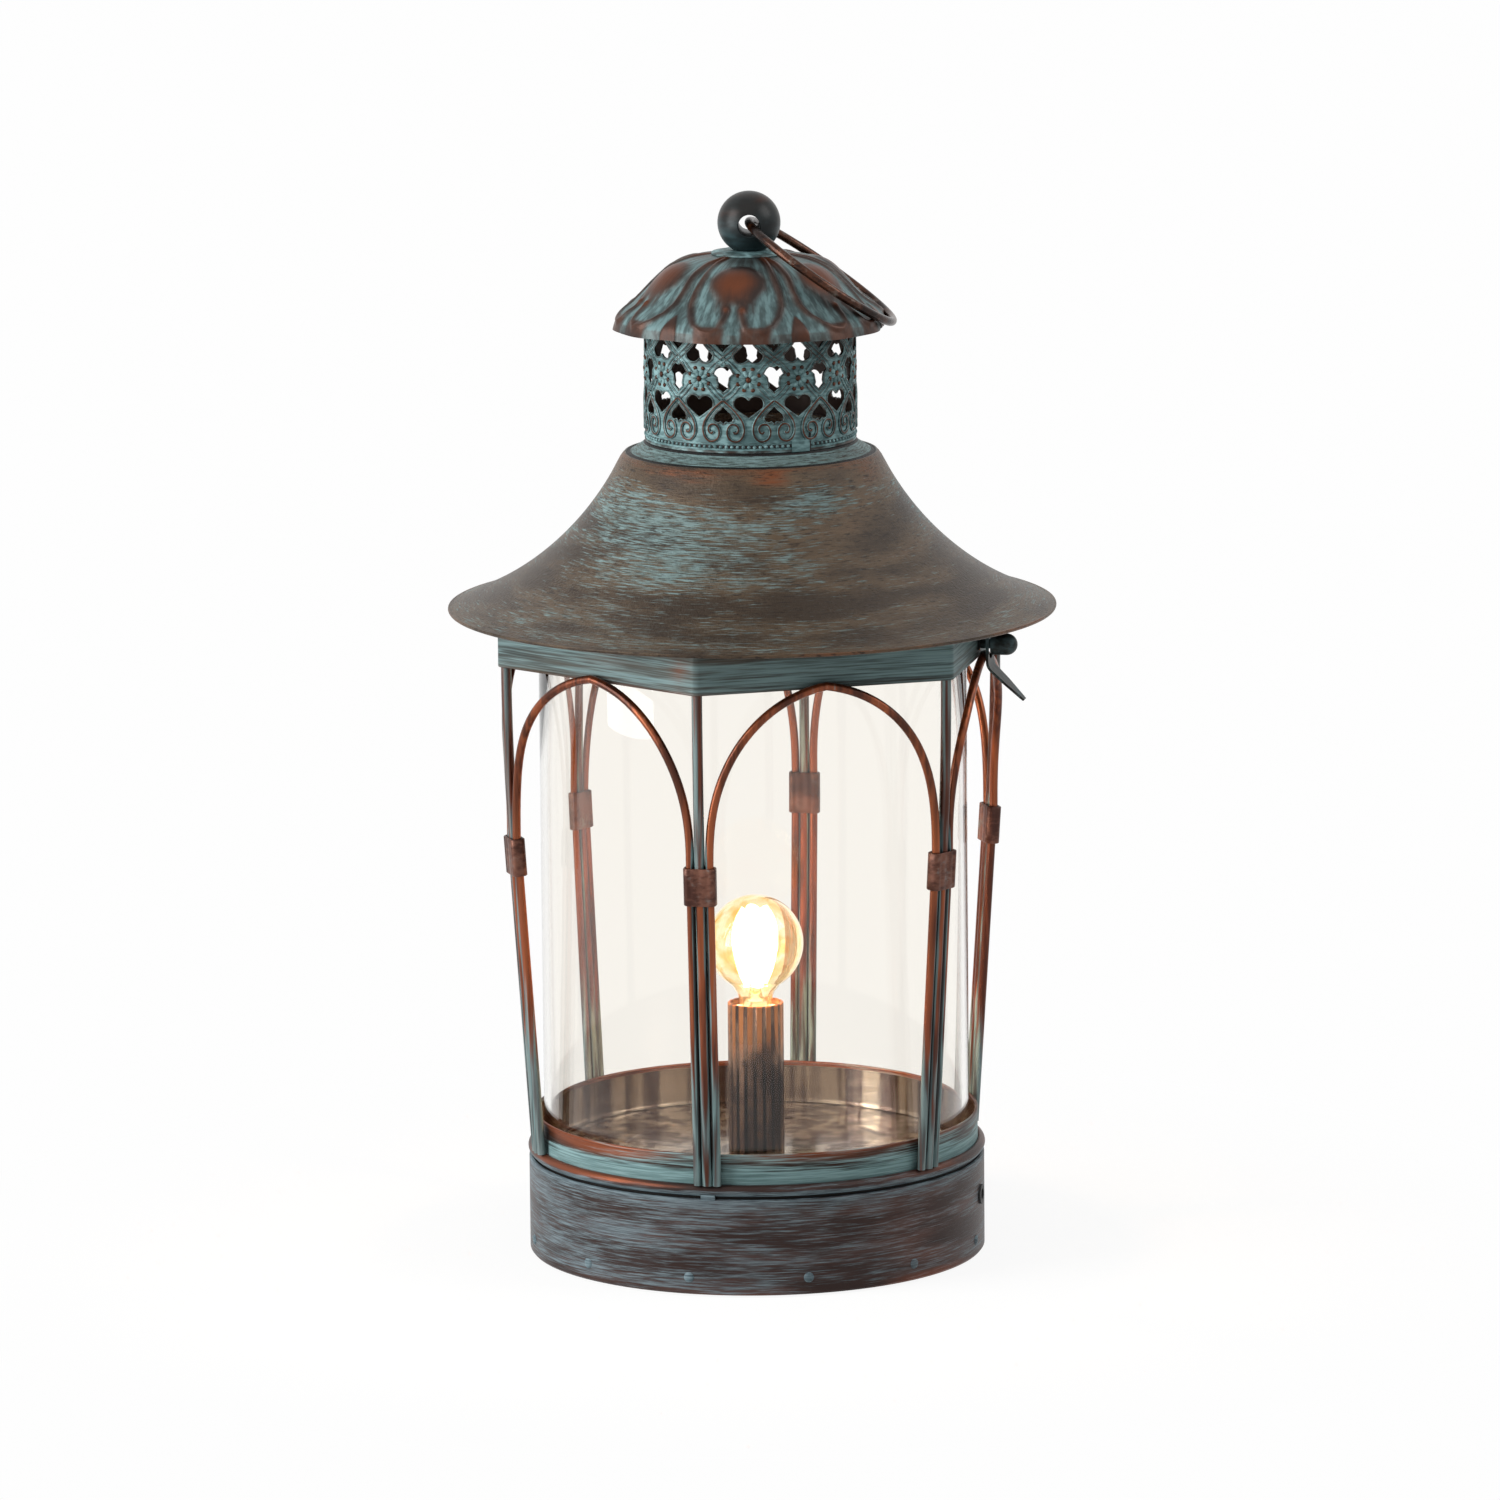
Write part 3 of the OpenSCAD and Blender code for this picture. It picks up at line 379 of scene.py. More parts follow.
# Pressed cap: blue-green brushed outwards along the petals, copper on bosses and edges.
capPatina = wipedPatina("wipedPatinaCap", {
    **bronzeLook, "cover": 0.0, "streakMm": (3.4, 16.0), "broadMm": (16.0, 14.0), "patina": "#6f9092",
    "patinaDeep": "#3d5556", "copper": "#5c301a", "dark": "#22130c", "bronze": "#3d2316", "opacity": 0.9,
    "fan": True, "streaky": 0.22, "hairy": 0.12, "patchy": 0.9, "rubbed": 1.9, "uneven": 0.3, "soft": 0.55,
    "metal": 0.35, "shine": 0.35})
# Drawn rod: warm copper with a long gleam, blue-green streaks along its length.
rodPatina = wipedPatina("wipedPatinaRod", {
    **bronzeLook, "dark": "#46200f", "bronze": "#7a3d24", "streakMm": (2.4, 160.0), "broadMm": (16.0, 90.0),
    "cover": -0.1, "patina": "#6f8b8c", "patinaDeep": "#3c4f51", "metal": 0.5, "bareRough": 0.3, "detail": 1,
    "soft": 0.35, "opacity": 0.85, "copper": "#94502e", "patchy": 0.8, "streaky": 1.6, "rubbed": 1.8, "shine": 0.4})
# Bent strip: dull red-brown with a few grey-green specks.
clipPatina = wipedPatina("wipedPatinaClip", {
    **bronzeLook, "dark": "#40241c", "bronze": "#704a3c", "streakMm": (6.0, 6.0), "broadMm": (16.0, 16.0),
    "cover": -0.5, "patina": "#62797b", "patinaDeep": "#3c4d4f", "metal": 0.5, "copper": "#80503c", "shine": 0.3})
# Small fittings: blackened steel with a breath of blue-green.
hingePatina = wipedPatina("wipedPatinaHinge", {
    **bronzeLook, "dark": "#161818", "bronze": "#2d2f2c", "streakMm": (8.0, 8.0), "broadMm": (20.0, 20.0),
    "cover": -0.25, "patina": "#51666a", "patinaDeep": "#2f3c3e"})
# Turned ball: nearly black lacquer with a soft highlight.
ballPatina = wipedPatina("wipedPatinaBall", {
    **bronzeLook, "dark": "#0f0d0c", "bronze": "#191614", "streakMm": (24.0, 18.0), "broadMm": (30.0, 20.0),
    "cover": -0.16, "patina": "#3f585d", "patinaDeep": "#202e31", "bareRough": 0.34, "coatRough": 0.42, "patchy": 0.5,
    "streaky": 0.5, "hairy": 0.2, "rubbed": 2.4, "soft": 0.7, "bump": 0.1, "shine": 0.2, "metal": 0.1})
# Bent wire: dark lacquered copper, glossy along its round.
handleCopper = wipedPatina("lacqueredCopperWire", {
    **bronzeLook, "dark": "#1c0e09", "bronze": "#482818", "copper": "#7c4630", "streakMm": (6.0, 6.0),
    "broadMm": (24.0, 24.0), "cover": -0.6, "metal": 0.6, "bareRough": 0.26, "patina": "#6f6f68",
    "patinaDeep": "#45443f", "shine": 0.4})
# Fluted tube: brown-pink metal with an upright gleam, copper towards the bulb, partly rubbed metal and partly a painted
# warm glow of its light.
sleevePatina = wipedPatina("wipedPatinaSleeve", {
    **bronzeLook, "dark": "#46342b", "bronze": "#8c6f5d", "streakMm": (6.0, 12.0), "broadMm": (14.0, 30.0),
    "cover": -0.9, "patina": "#6a6862", "patinaDeep": "#45433f", "metal": 0.85, "bareRough": 0.24,
    "copperMetal": 0.7, "copper": "#a5683c", "uneven": 0.6, "shine": 0.1, "rubbed": 0.1, "streaky": 0.4,
    "patchy": 0.6, "hairy": 0.3})
print("patina finishes made")


def plainFinish(name, colour, metallic, roughness, grainMm, bump=0.08, stainAndReflection=None, **sockets):
    # one colour with a fine grain that shows only in its gloss and its bump, and stains with painted reflection streaks
    # if a colour is given for them
    material, tree = newMaterial(name)
    place = addNode(tree, "ShaderNodeTexCoord").outputs["Object"]
    grain = addNode(tree, "ShaderNodeTexNoise", {
        "Vector": place, "Scale": 1000 / grainMm, "Detail": 4.0, "Roughness": 0.6}).outputs[0]
    rough = addNode(tree, "ShaderNodeMapRange", {0: grain, 3: roughness * 0.7, 4: roughness * 1.3}).outputs[0]
    darker = tuple(0.8 * c for c in hexColour(colour)[:3]) + (1.0,)
    tone = addNode(tree, "ShaderNodeMix", {0: grain, 6: darker, 7: hexColour(colour)}, data_type="RGBA").outputs[2]
    if stainAndReflection:
        # tall narrow streaks on a wall, partly stains and partly painted reflections of the rods, round stains on a
        # floor
        across, tall = 110, 7
        stretched = addNode(tree, "ShaderNodeMapping", {"Vector": place, "Scale": (across, across, tall)}).outputs[0]
        cloud = addNode(tree, "ShaderNodeTexNoise", {"Vector": stretched, "Scale": 1.0, "Detail": 4.0}).outputs[0]
        tone = fadeBetween(tree, hexColour(stainAndReflection), tone, cloud, 0.42, 0.6)
    raised = addNode(tree, "ShaderNodeBump", {"Strength": bump, "Distance": 0.3 * mm, "Height": grain}).outputs[0]
    shader = addNode(tree, "ShaderNodeBsdfPrincipled", {
        "Base Color": tone, "Roughness": rough, "Metallic": metallic, "Normal": raised, **sockets})
    addNode(tree, "ShaderNodeOutputMaterial", {"Surface": shader.outputs[0]})
    return material


zincSteel = plainFinish("zincPlatedSteel", "#9a9a96", 1.0, 0.32, 2.0)  # plain grey with a blurred gleam
holderBrass = plainFinish("turnedBrass", "#c2a35c", 1.0, 0.3, 2.0)  # soft yellow highlights
glazedCeramic = plainFinish("glazedCeramic", "#e4ddcf", 0.0, 0.18, 6.0)  # cream, with a clear small highlight
blackRubber = plainFinish("blackRubber", "#1b1a1a", 0.0, 0.6, 1.0)  # dull, only a grey sheen on its edge
innerLacquer = plainFinish("darkBronzeLacquer", "#2c1c14", 0.4, 0.45, 6.0, bump=0.1)  # stays dark through the openings
woolFelt = plainFinish("pressedFelt", "#1d1c1b", 0.0, 0.95, 0.8, bump=0.5)  # no gleam at all
# the pan's inside mirrors the rods and the sleeve, broken by brown stains and painted reflection streaks
lacqueredTin = plainFinish("bronzeLacqueredTin", "#a3988a", 0.8, 0.17, 9.0, bump=0.1, stainAndReflection="#4b362c")


def clearGlass(name, tint, dapple=None, glow="#000000", glowStrength=0.0, ior=1.45):
    # Blown soda-lime glass: clear, with the faintest warm tint. Rays from the lamps pass straight through.
    material, tree = newMaterial(name)
    path = addNode(tree, "ShaderNodeLightPath").outputs["Is Shadow Ray"]
    if dapple:
        # the light of the filaments gathers in amber clouds on the wall of the globe
        place = addNode(tree, "ShaderNodeTexCoord").outputs["Object"]
        cloud = addNode(tree, "ShaderNodeTexNoise", {"Vector": place, "Scale": 110.0, "Detail": 2.0}).outputs[0]
        tint = fadeBetween(tree, hexColour(tint), hexColour(dapple), cloud, 0.48, 0.68)
    else:
        tint = hexColour(tint)
    glass = addNode(tree, "ShaderNodeBsdfPrincipled", {
        "Base Color": tint, "Roughness": 0.0, "IOR": ior, "Transmission Weight": 1.0,
        "Emission Color": hexColour(glow), "Emission Strength": glowStrength})
    through = addNode(tree, "ShaderNodeBsdfTransparent", {"Color": (1, 0.98, 0.95, 1)})
    both = addNode(tree, "ShaderNodeMixShader", {0: path, 1: glass.outputs[0], 2: through.outputs[0]})
    addNode(tree, "ShaderNodeOutputMaterial", {"Surface": both.outputs[0]})
    return material


# its faint warm tint is partly the glass's own and partly a painted warm glow of the bulb
chimneyGlass = clearGlass("blownChimneyGlass", "#fcfaf6", ior=1.32)
# the globe is flooded by its own filaments, so the glass itself is made faintly amber and given a painted amber glow of
# its own
bulbGlass = clearGlass("blownBulbGlass", "#fff8e6", "#ffdb9c", "#ffd596", 0.1)


def glowing(name, colour, strength):
    # Coated lit filament; after a reflection it is only a warm tone, so the chimney holds no second lamp
    material, tree = newMaterial(name)
    depth = addNode(tree, "ShaderNodeLightPath").outputs["Glossy Depth"]
    mirrored = addNode(tree, "ShaderNodeMath", {0: depth, 1: 0.5}, operation="GREATER_THAN").outputs[0]
    shader = addNode(tree, "ShaderNodeBsdfPrincipled", {
        "Base Color": hexColour(colour), "Roughness": 0.5, "Emission Color": hexColour(colour),
        "Emission Strength": strength})
    faint = addNode(tree, "ShaderNodeEmission", {"Color": hexColour(colour), "Strength": 0.95})
    both = addNode(tree, "ShaderNodeMixShader", {0: mirrored, 1: shader.outputs[0], 2: faint.outputs[0]})
    addNode(tree, "ShaderNodeOutputMaterial", {"Surface": both.outputs[0]})
    return material


litFilament = glowing("litFilament", "#ffdca8", 9.0)
print("plain finishes made")


# Geometry Nodes trees: copies round the lamp's axis, and a wire along a path.

def openTree(name, sockets):
    tree = bpy.data.node_groups.new(name, "GeometryNodeTree")
    for label, kind in sockets:
        tree.interface.new_socket(name=label, in_out="INPUT", socket_type=kind)
    tree.interface.new_socket(name="Geometry", in_out="OUTPUT", socket_type="NodeSocketGeometry")
    return tree, addNode(tree, "NodeGroupInput").outputs


def copiesTree():
    tree, given = openTree("copiesRoundAxis", [
        ("Geometry", "NodeSocketGeometry"), ("Count", "NodeSocketInt"), ("First Turn", "NodeSocketFloat"),
        ("Weld", "NodeSocketFloat"), ("Finish", "NodeSocketMaterial")])
    spots = addNode(tree, "GeometryNodeMeshLine", {"Count": given["Count"], "Offset": (0, 0, 0)}, mode="OFFSET")
    index = addNode(tree, "GeometryNodeInputIndex").outputs[0]
    pitch = addNode(tree, "ShaderNodeMath", {0: 2 * math.pi, 1: given["Count"]}, operation="DIVIDE").outputs[0]
    turn = addNode(tree, "ShaderNodeMath", {0: index, 1: pitch, 2: given["First Turn"]},
                   operation="MULTIPLY_ADD").outputs[0]
    spin = addNode(tree, "ShaderNodeCombineXYZ", {"Z": turn}).outputs[0]
    copies = addNode(tree, "GeometryNodeInstanceOnPoints", {
        "Points": spots.outputs[0], "Instance": given["Geometry"], "Rotation": spin}).outputs[0]
    real = addNode(tree, "GeometryNodeRealizeInstances", {0: copies}).outputs[0]
    whole = addNode(tree, "GeometryNodeMergeByDistance", {"Geometry": real, "Distance": given["Weld"]}).outputs[0]
    done = addNode(tree, "GeometryNodeSetMaterial", {"Geometry": whole, "Material": given["Finish"]}).outputs[0]
    addNode(tree, "NodeGroupOutput", {0: done})
    return tree


def wireTree():
    tree, given = openTree("wireAlongPath", [
        ("Geometry", "NodeSocketGeometry"), ("Radius", "NodeSocketFloat"), ("Sides", "NodeSocketInt"),
        ("Finish", "NodeSocketMaterial")])
    path = addNode(tree, "GeometryNodeMeshToCurve", {0: given["Geometry"]}).outputs[0]
    ring = addNode(tree, "GeometryNodeCurvePrimitiveCircle", {
        "Resolution": given["Sides"], "Radius": given["Radius"]}, mode="RADIUS").outputs[0]
    tube = addNode(tree, "GeometryNodeCurveToMesh", {"Curve": path, "Profile Curve": ring, "Fill Caps": True})
    real = addNode(tree, "GeometryNodeRealizeInstances", {0: tube.outputs[0]}).outputs[0]
    done = addNode(tree, "GeometryNodeSetMaterial", {"Geometry": real, "Material": given["Finish"]}).outputs[0]
    addNode(tree, "NodeGroupOutput", {0: done})
    return tree


copiesRoundAxis = copiesTree()
wireAlongPath = wireTree()


def grow(mesh, tree, values, name, creaseDeg=40):
    # runs a tree on a mesh and gives the plain result
    holder = bpy.data.objects.new(name + "Seed", mesh)
    bpy.context.scene.collection.objects.link(holder)
    modifier = holder.modifiers.new("tree", "NODES")
    modifier.node_group = tree
    keys = {item.name: item.identifier for item in tree.interface.items_tree if item.in_out == "INPUT"}
    for label, value in values.items():
        modifier[keys[label]] = value
    holder.update_tag()
    bpy.context.view_layer.update()
    view = bpy.context.evaluated_depsgraph_get()
    result = bpy.data.meshes.new_from_object(holder.evaluated_get(view))
    result.name = name
    bpy.data.objects.remove(holder)
    result.shade_smooth()
    result.set_sharp_from_angle(angle=math.radians(creaseDeg))
    return result


def wireMesh(name, paths, radius, sides, material, wearAndShade=None):
    # paths is a list of (points, closed) in mm
    points, edges, marks = [], [], []
    for path, closed in paths:
        base = len(points)
        points += list(path)
        edges += [(base + i, base + i + 1) for i in range(len(path) - 1)]
        if closed:
            edges.append((base + len(path) - 1, base))
        marks += [wearAndShade(p[2]) if callable(wearAndShade) else wearAndShade or 0.0 for p in path]
    line = newMesh(name + "Path", points, [], edges, marks)
    return grow(line, wireAlongPath, {"Radius": radius * mm, "Sides": sides, "Finish": material}, name, 50)


def copyRound(mesh, count, firstDeg, material, name, weldMm=0.0, creaseDeg=40):
    return grow(mesh, copiesRoundAxis, {
        "Count": count, "First Turn": math.radians(firstDeg), "Weld": weldMm * mm, "Finish": material},
        name, creaseDeg)


# Base.

def baseDrum():
    size = {
        "r": 106.1, "low": 0.8, "seat": 45.5, "wall": 1.0, "edge": 0.9, "grooveTop": 47.0,
        "beadMid": (103.9, 49.5), "beadR": 2.6, "wellR": 103.3, "flangeR": 94.1,
        "dots": 12, "firstDot": -95, "dotZ": 8.7, "dotSizes": (2.5, 2.5, 1.25),
        "seamHalf": 3.3, "seamZ": (44.5, 47.6), "seamR": (106.0, 104.0),
    }
    r, low, seat, groove = size["r"], size["low"], size["seat"], size["grooveTop"]
    hollow = r - size["wall"]
    outline = [(r - 0.7, low, 0.3), (r, low + 0.9, 0.2), (r, 3.5, 0.14)]
    outline += [(r, z, 0.0) for z in (5, 8, 14, 21, 28, 35, 40)] + [(r, 42.0, -0.1)]
    outline += arcPoints((r - size["edge"], seat - size["edge"]), size["edge"], 0, 80, 5, -0.3)
    # the groove under the bead is darkened with painted shade
    outline += [(105.3, seat + 0.02, -0.2), (104.6, seat + 0.05, -1.0), (103.9, seat + 0.1, -1.0),
                (103.9, groove - 0.4, -1.0), (104.9, groove - 0.25, -1.0)]
    bead = arcPoints(size["beadMid"], size["beadR"], -50, 102, 16)
    outline += [(x, z, lerp(-0.4, 0.32, limited((z - 48.4) / 1.6))) for x, z, _ in bead]
    outline += [(size["wellR"], 50.5, 0.0), (size["wellR"], seat, 0.0), (size["flangeR"], seat, 0.2),
                (size["flangeR"], seat - size["wall"], 0.0), (hollow, seat - size["wall"], 0.0), (hollow, low, 0.3)]
    parts = [revolve(outline, 180)]
    # dots pressed out round the foot
    for i in range(size["dots"]):
        turn = size["firstDot"] + 360 / size["dots"] * i
        out, side = axesAt(turn)
        parts.append(blob(polar(r - 0.3, turn, size["dotZ"]), (side, (0, 0, 1), out), size["dotSizes"], 16, 5, -0.52,
                          whole=False))
    # the drum's seam, seen as a small lug in the groove
    (front, back), half = size["seamR"], size["seamHalf"]
    lug = [(x, -y, z) for z in size["seamZ"] for x, y in ((-half, front), (half, front), (half, back), (-half, back))]
    faces = [(0, 3, 2, 1), (4, 5, 6, 7)] + gridFaces(2, 4, False, True)
    parts.append((lug, faceOutwards(lug, faces), [-0.45] * 8))
    patches = [(-52, 51, 26, 2.5, 0.35), (-10, 51, 30, 2.5, 0.22), (30, 51, 40, 2.5, -0.3), (-50, 30, 40, 30, -0.12),
               (60, 22, 30, 40, 0.25)]
    mesh = partsMesh("baseDrumSkin", parts, patches=patches)
    return placePiece("baseDrumSkin", mesh, "frame", drumPatina, ["base_drum"])


def glassPan():
    size = {"r": 103.1, "wall": 1.0, "low": 45.6, "floor": 46.6, "top": 66.2, "roll": 0.8, "holeR": 5.0, "bend": 1.5}
    r, floor, inner = size["r"], size["floor"], size["r"] - size["wall"]
    mid = (r - size["wall"] / 2, size["top"] - size["roll"])
    outline = [(size["holeR"], size["low"], 0.0), (r, size["low"], 0.0)]
    outline += [(r, 51.9, -0.25), (r, 54, -0.25), (r, 57.5, -0.12), (r, 60, 0.08), (r, 62.5, 0.14), (r, 64.5, 0.2)]
    outline += arcPoints(mid, size["roll"], -50, 230, 12, 0.26)
    inside = len(outline)
    outline += [(inner, 64.0, 0.3), (inner, 56.0, 0.1)]
    outline += arcPoints((inner - size["bend"], floor + size["bend"]), size["bend"], 0, -90, 5, 0.2)
    # the floor, with a low pressed ring
    outline += [(x, floor + lift, worn) for x, lift, worn in (
        (92.0, 0.0, 0.1), (80.0, 0.0, 0.1), (66.0, 0.0, 0.1), (65.3, 0.1, 0.3), (64.8, 0.5, 0.5), (62.2, 0.5, 0.5),
        (61.7, 0.1, 0.3), (50.0, 0.0, 0.1), (30.0, 0.0, 0.1), (size["holeR"], 0.0, 0.1))]
    patches = [(-48, 65, 17, 7, 0.4), (-24, 63, 16, 4, 0.3), (26, 63, 20, 4, 0.2), (60, 60, 30, 14, 0.1),
               (180, 66, 80, 4, 0.3)]
    mesh = turnedMesh("glassPanSkin", outline, 180, patches)
    for polygon in mesh.polygons:
        polygon.material_index = int(min(v % len(outline) for v in polygon.vertices) >= inside)
    return placePiece("glassPanSkin", mesh, "frame", [panPatina, lacqueredTin], ["glass_pan"])


def chimney():
    size = {"outer": 99.0, "inner": 96.0, "low": 46.9, "top": 290.0, "edge": 0.8, "lip": 1.5}
    outer, inner, edge, lip = size["outer"], size["inner"], size["edge"], size["lip"]
    outline = [(inner + edge, size["low"]), (outer - edge, size["low"])]
    outline += [(outer, z) for z in (size["low"] + edge, 110, 170, 230, size["top"] - lip)]
    outline += arcPoints(((outer + inner) / 2, size["top"] - lip), lip, 15, 165, 8)
    outline += [(inner, z) for z in (size["top"] - lip, 230, 170, 110, size["low"] + edge)]
    mesh = turnedMesh("chimneyGlassTube", outline, 192)
    return placePiece("chimneyGlassTube", mesh, "frame", chimneyGlass, ["glass_chimney"])


baseDrum()
glassPan()
chimney()
print("base, pan and chimney made")


# Posts, arches and clips.

postSize = {
    "footZ": 52.2, "footR": 105.9, "clipZ": 193.0, "clipR": 115.4, "ringLow": 281.5, "headR": 118.7, "topZ": 299.5,
    "rodR": 2.4, "wireR": 1.95, "offset": 4.45, "clipTop": 201.75,
}
archSize = {"end": 79.0, "apexR": 109.05, "apexZ": 283.0}


def postR(z):
    # a post leans out from the drum to its clip, and comes upright at the ring
    foot, clip, ring = postSize["footZ"], postSize["clipZ"], postSize["ringLow"]
    if z <= clip:
        return lerp(postSize["footR"], postSize["clipR"], (z - foot) / (clip - foot))
    if z >= ring:
        return postSize["headR"]
    return lerp(postSize["clipR"], postSize["headR"], 1 - (1 - (z - clip) / (ring - clip)) ** 2)


def legPoint(turn, side, z):
    out, along = axesAt(turn)
    return postR(z) * out + postSize["offset"] * side * along + Vector((0, 0, z))


def archHalf(midTurn, side, steps):
    turn = midTurn - side * 30
    spring = legPoint(turn, side, postSize["clipTop"])
    normal, along = axesAt(midTurn)
    springN, springS = spring.dot(normal), spring.dot(along)
    end = math.radians(archSize["end"])
    rows = [legPoint(turn, side, lerp(postSize["footZ"], postSize["clipTop"], s / 10)) for s in range(10)]
    for s in range(steps + 1):
        u = end * s / steps
        share = max(0.0, math.cos(u) - math.cos(end)) / (1 - math.cos(end))
        n = springN + (archSize["apexR"] - springN) * (1 - share ** 5)
        z = postSize["clipTop"] + (archSize["apexZ"] - postSize["clipTop"]) * (math.sin(u) / math.sin(end)) ** 0.79
        rows.append(n * normal + share ** 0.94 * springS * along + Vector((0, 0, z)))
    return rows


def archPath(midTurn):
    up, down = archHalf(midTurn, 1, 30), archHalf(midTurn, -1, 30)
    return up + down[-2::-1]


def wireWear(z):
    # the lower third keeps its patina, the rest is rubbed to copper
    return float(np.interp(z, [52, 92, 130, 200, 250, 283], [-0.26, -0.16, 0.3, 0.5, 0.42, 0.3]))


def rodWear(z):
    return float(np.interp(z, [52, 92, 130, 185, 205, 300], [-0.26, -0.14, 0.32, 0.4, -0.02, -0.15]))


def shadeWhereRodsTouch(mesh, turn, both):
    # painted shade: the line where two rods touch is darkened
    joint = {"from": 0.6, "over": 0.32, "wearAndShade": -0.93, "fadeFrom": 0.202, "fadeOver": 0.02}
    along = axesAt(turn)[1]
    layer = mesh.attributes["wearAndShade"].data
    for i, vertex in enumerate(mesh.vertices):
        place = vertex.co.dot(along)
        side = abs(vertex.normal.dot(along)) if both else vertex.normal.dot(along) * (1 if place > 0 else -1)
        dark = limited((side - joint["from"]) / joint["over"])
        # above the clip the wires part from the rod, and the line ends
        dark = max(0.0, dark - max(0.0, vertex.co.z - joint["fadeFrom"]) / joint["fadeOver"])
        layer[i].value = lerp(layer[i].value, joint["wearAndShade"], dark * dark * (3 - 2 * dark))


def postWires(i):
    turn, sides, steps = -90 + 60 * i, 24, 28
    heights = [lerp(postSize["footZ"], postSize["topZ"], s / steps) for s in range(steps + 1)]
    rod = [polar(postR(z), turn, z) for z in heights]
    arch = [tuple(p) for p in archPath(turn + 30)]
    for kind, node, path, radius, wearAndShade, middle, both in (
            ("postRod", "post_rod", rod, postSize["rodR"], rodWear, turn, True),
            ("archWire", "arch_wire", arch, postSize["wireR"], wireWear, turn + 30, False)):
        name = "%s%dSkin" % (kind, i + 1)
        mesh = wireMesh(name, [(path, False)], radius, sides, rodPatina, wearAndShade)
        shadeWhereRodsTouch(mesh, middle, both)
        placePiece(name, mesh, "frame", rodPatina, ["%s_%d" % (node, i + 1)])


for post in range(6):
    postWires(post)


def roundBox(w, d, r, steps=6):
    rows = []
    for first, sx, sy in ((0, 1, 1), (90, -1, 1), (180, -1, -1), (270, 1, -1)):
        corner = (sx * (w / 2 - r), sy * (d / 2 - r))
        rows += [(x, y) for x, y, _ in arcPoints(corner, r, first, first + 90, steps)]
    return rows


def postClip(i):
    # a strip of sheet pressed round three rods, so it dips between them
    size = {
        "w": 15.0, "d": 7.0, "r": 2.6, "innerW": 13.0, "innerD": 5.0, "innerR": 1.7, "h": 17.5, "dip": 0.28,
        "edge": 0.35, "slope": 0.06747, "step": 0.7, "flat": 3.2, "end": 6.6,
    }
    turn = -90 + 60 * i
    lean = math.atan(size["slope"])
    inner = roundBox(size["innerW"], size["innerD"], size["innerR"])

    def fine(loop):
        rows = []
        for k in range(len(loop)):
            a, b = loop[k], loop[(k + 1) % len(loop)]
            count = max(1, int(math.hypot(b[0] - a[0], b[1] - a[1]) / size["step"]))
            rows += [(lerp(a[0], b[0], s / count), lerp(a[1], b[1], s / count)) for s in range(count)]
        return rows

    outer = fine(roundBox(size["w"], size["d"], size["r"]))
    tall = size["h"] / 2
    levels = [(-tall, 1), (-tall + size["edge"], 0), (-tall / 2, 0), (0, 0), (tall / 2, 0),
              (tall - size["edge"], 0), (tall, 1)]
    points, wearAndShade = [], []
    (out, side), up = axesAt(turn), Vector((0, 0, 1))
    axis = (up * math.cos(lean) + out * math.sin(lean)).normalized()
    face = (out * math.cos(lean) - up * math.sin(lean)).normalized()
    middle = Vector(polar(postSize["clipR"], turn, postSize["clipZ"]))
    for z, low in levels:
        for x, y in outer:
            if abs(x) < postSize["offset"] and abs(y) > size["flat"] and not low:
                dip = 0.5 - 0.5 * math.cos(2 * math.pi * x / postSize["offset"] + math.pi)
                y -= math.copysign(size["dip"] * dip, y)
            shrink = size["edge"] * low
            across, deep = x * (1 - 2 * shrink / size["w"]), y * (1 - 2 * shrink / size["d"])
            points.append(tuple(middle + side * across + face * deep + axis * z))
            wearAndShade.append(0.3 if low else (0.15 if abs(x) > size["end"] else 0.0))
    n = len(outer)
    faces = gridFaces(len(levels), n, False, True)
    base = len(points)
    m = len(inner)
    for z in (-tall, tall):
        for x, y in inner:
            points.append(tuple(middle + side * x + face * y + axis * z))
            wearAndShade.append(0.0)
    faces += [tuple(reversed(f)) for f in gridFaces(2, m, False, True, base)]

    def rim(outerBase, innerBase, flip):
        # an end of the strip: each outer point is matched to the nearest inner point by its angle
        ring, near = [], []
        a = [math.atan2(y / size["innerD"], x / size["innerW"]) for x, y in inner]
        for x, y in outer:
            t = math.atan2(y / size["d"], x / size["w"])
            near.append(min(range(m), key=lambda q: abs(math.atan2(math.sin(a[q] - t), math.cos(a[q] - t)))))
        for j in range(n):
            k = (j + 1) % n
            p, q = near[j], near[k]
            while p != q:
                nxt = (p + 1) % m
                ring.append((outerBase + j, innerBase + nxt, innerBase + p))
                p = nxt
            ring.append((outerBase + j, outerBase + k, innerBase + q))
        return [tuple(reversed(f)) for f in ring] if flip else ring

    faces += rim(0, base, True)
    faces += rim((len(levels) - 1) * n, base + m, False)
    mesh = newMesh("postClip%dSkin" % (i + 1), points, faceOutwards(points, faces), wearAndShade=wearAndShade, creaseDeg=50)
    return placePiece("postClip%dSkin" % (i + 1), mesh, "frame", clipPatina, ["post_clip_%d" % (i + 1)])


for post in range(6):
    postClip(post)


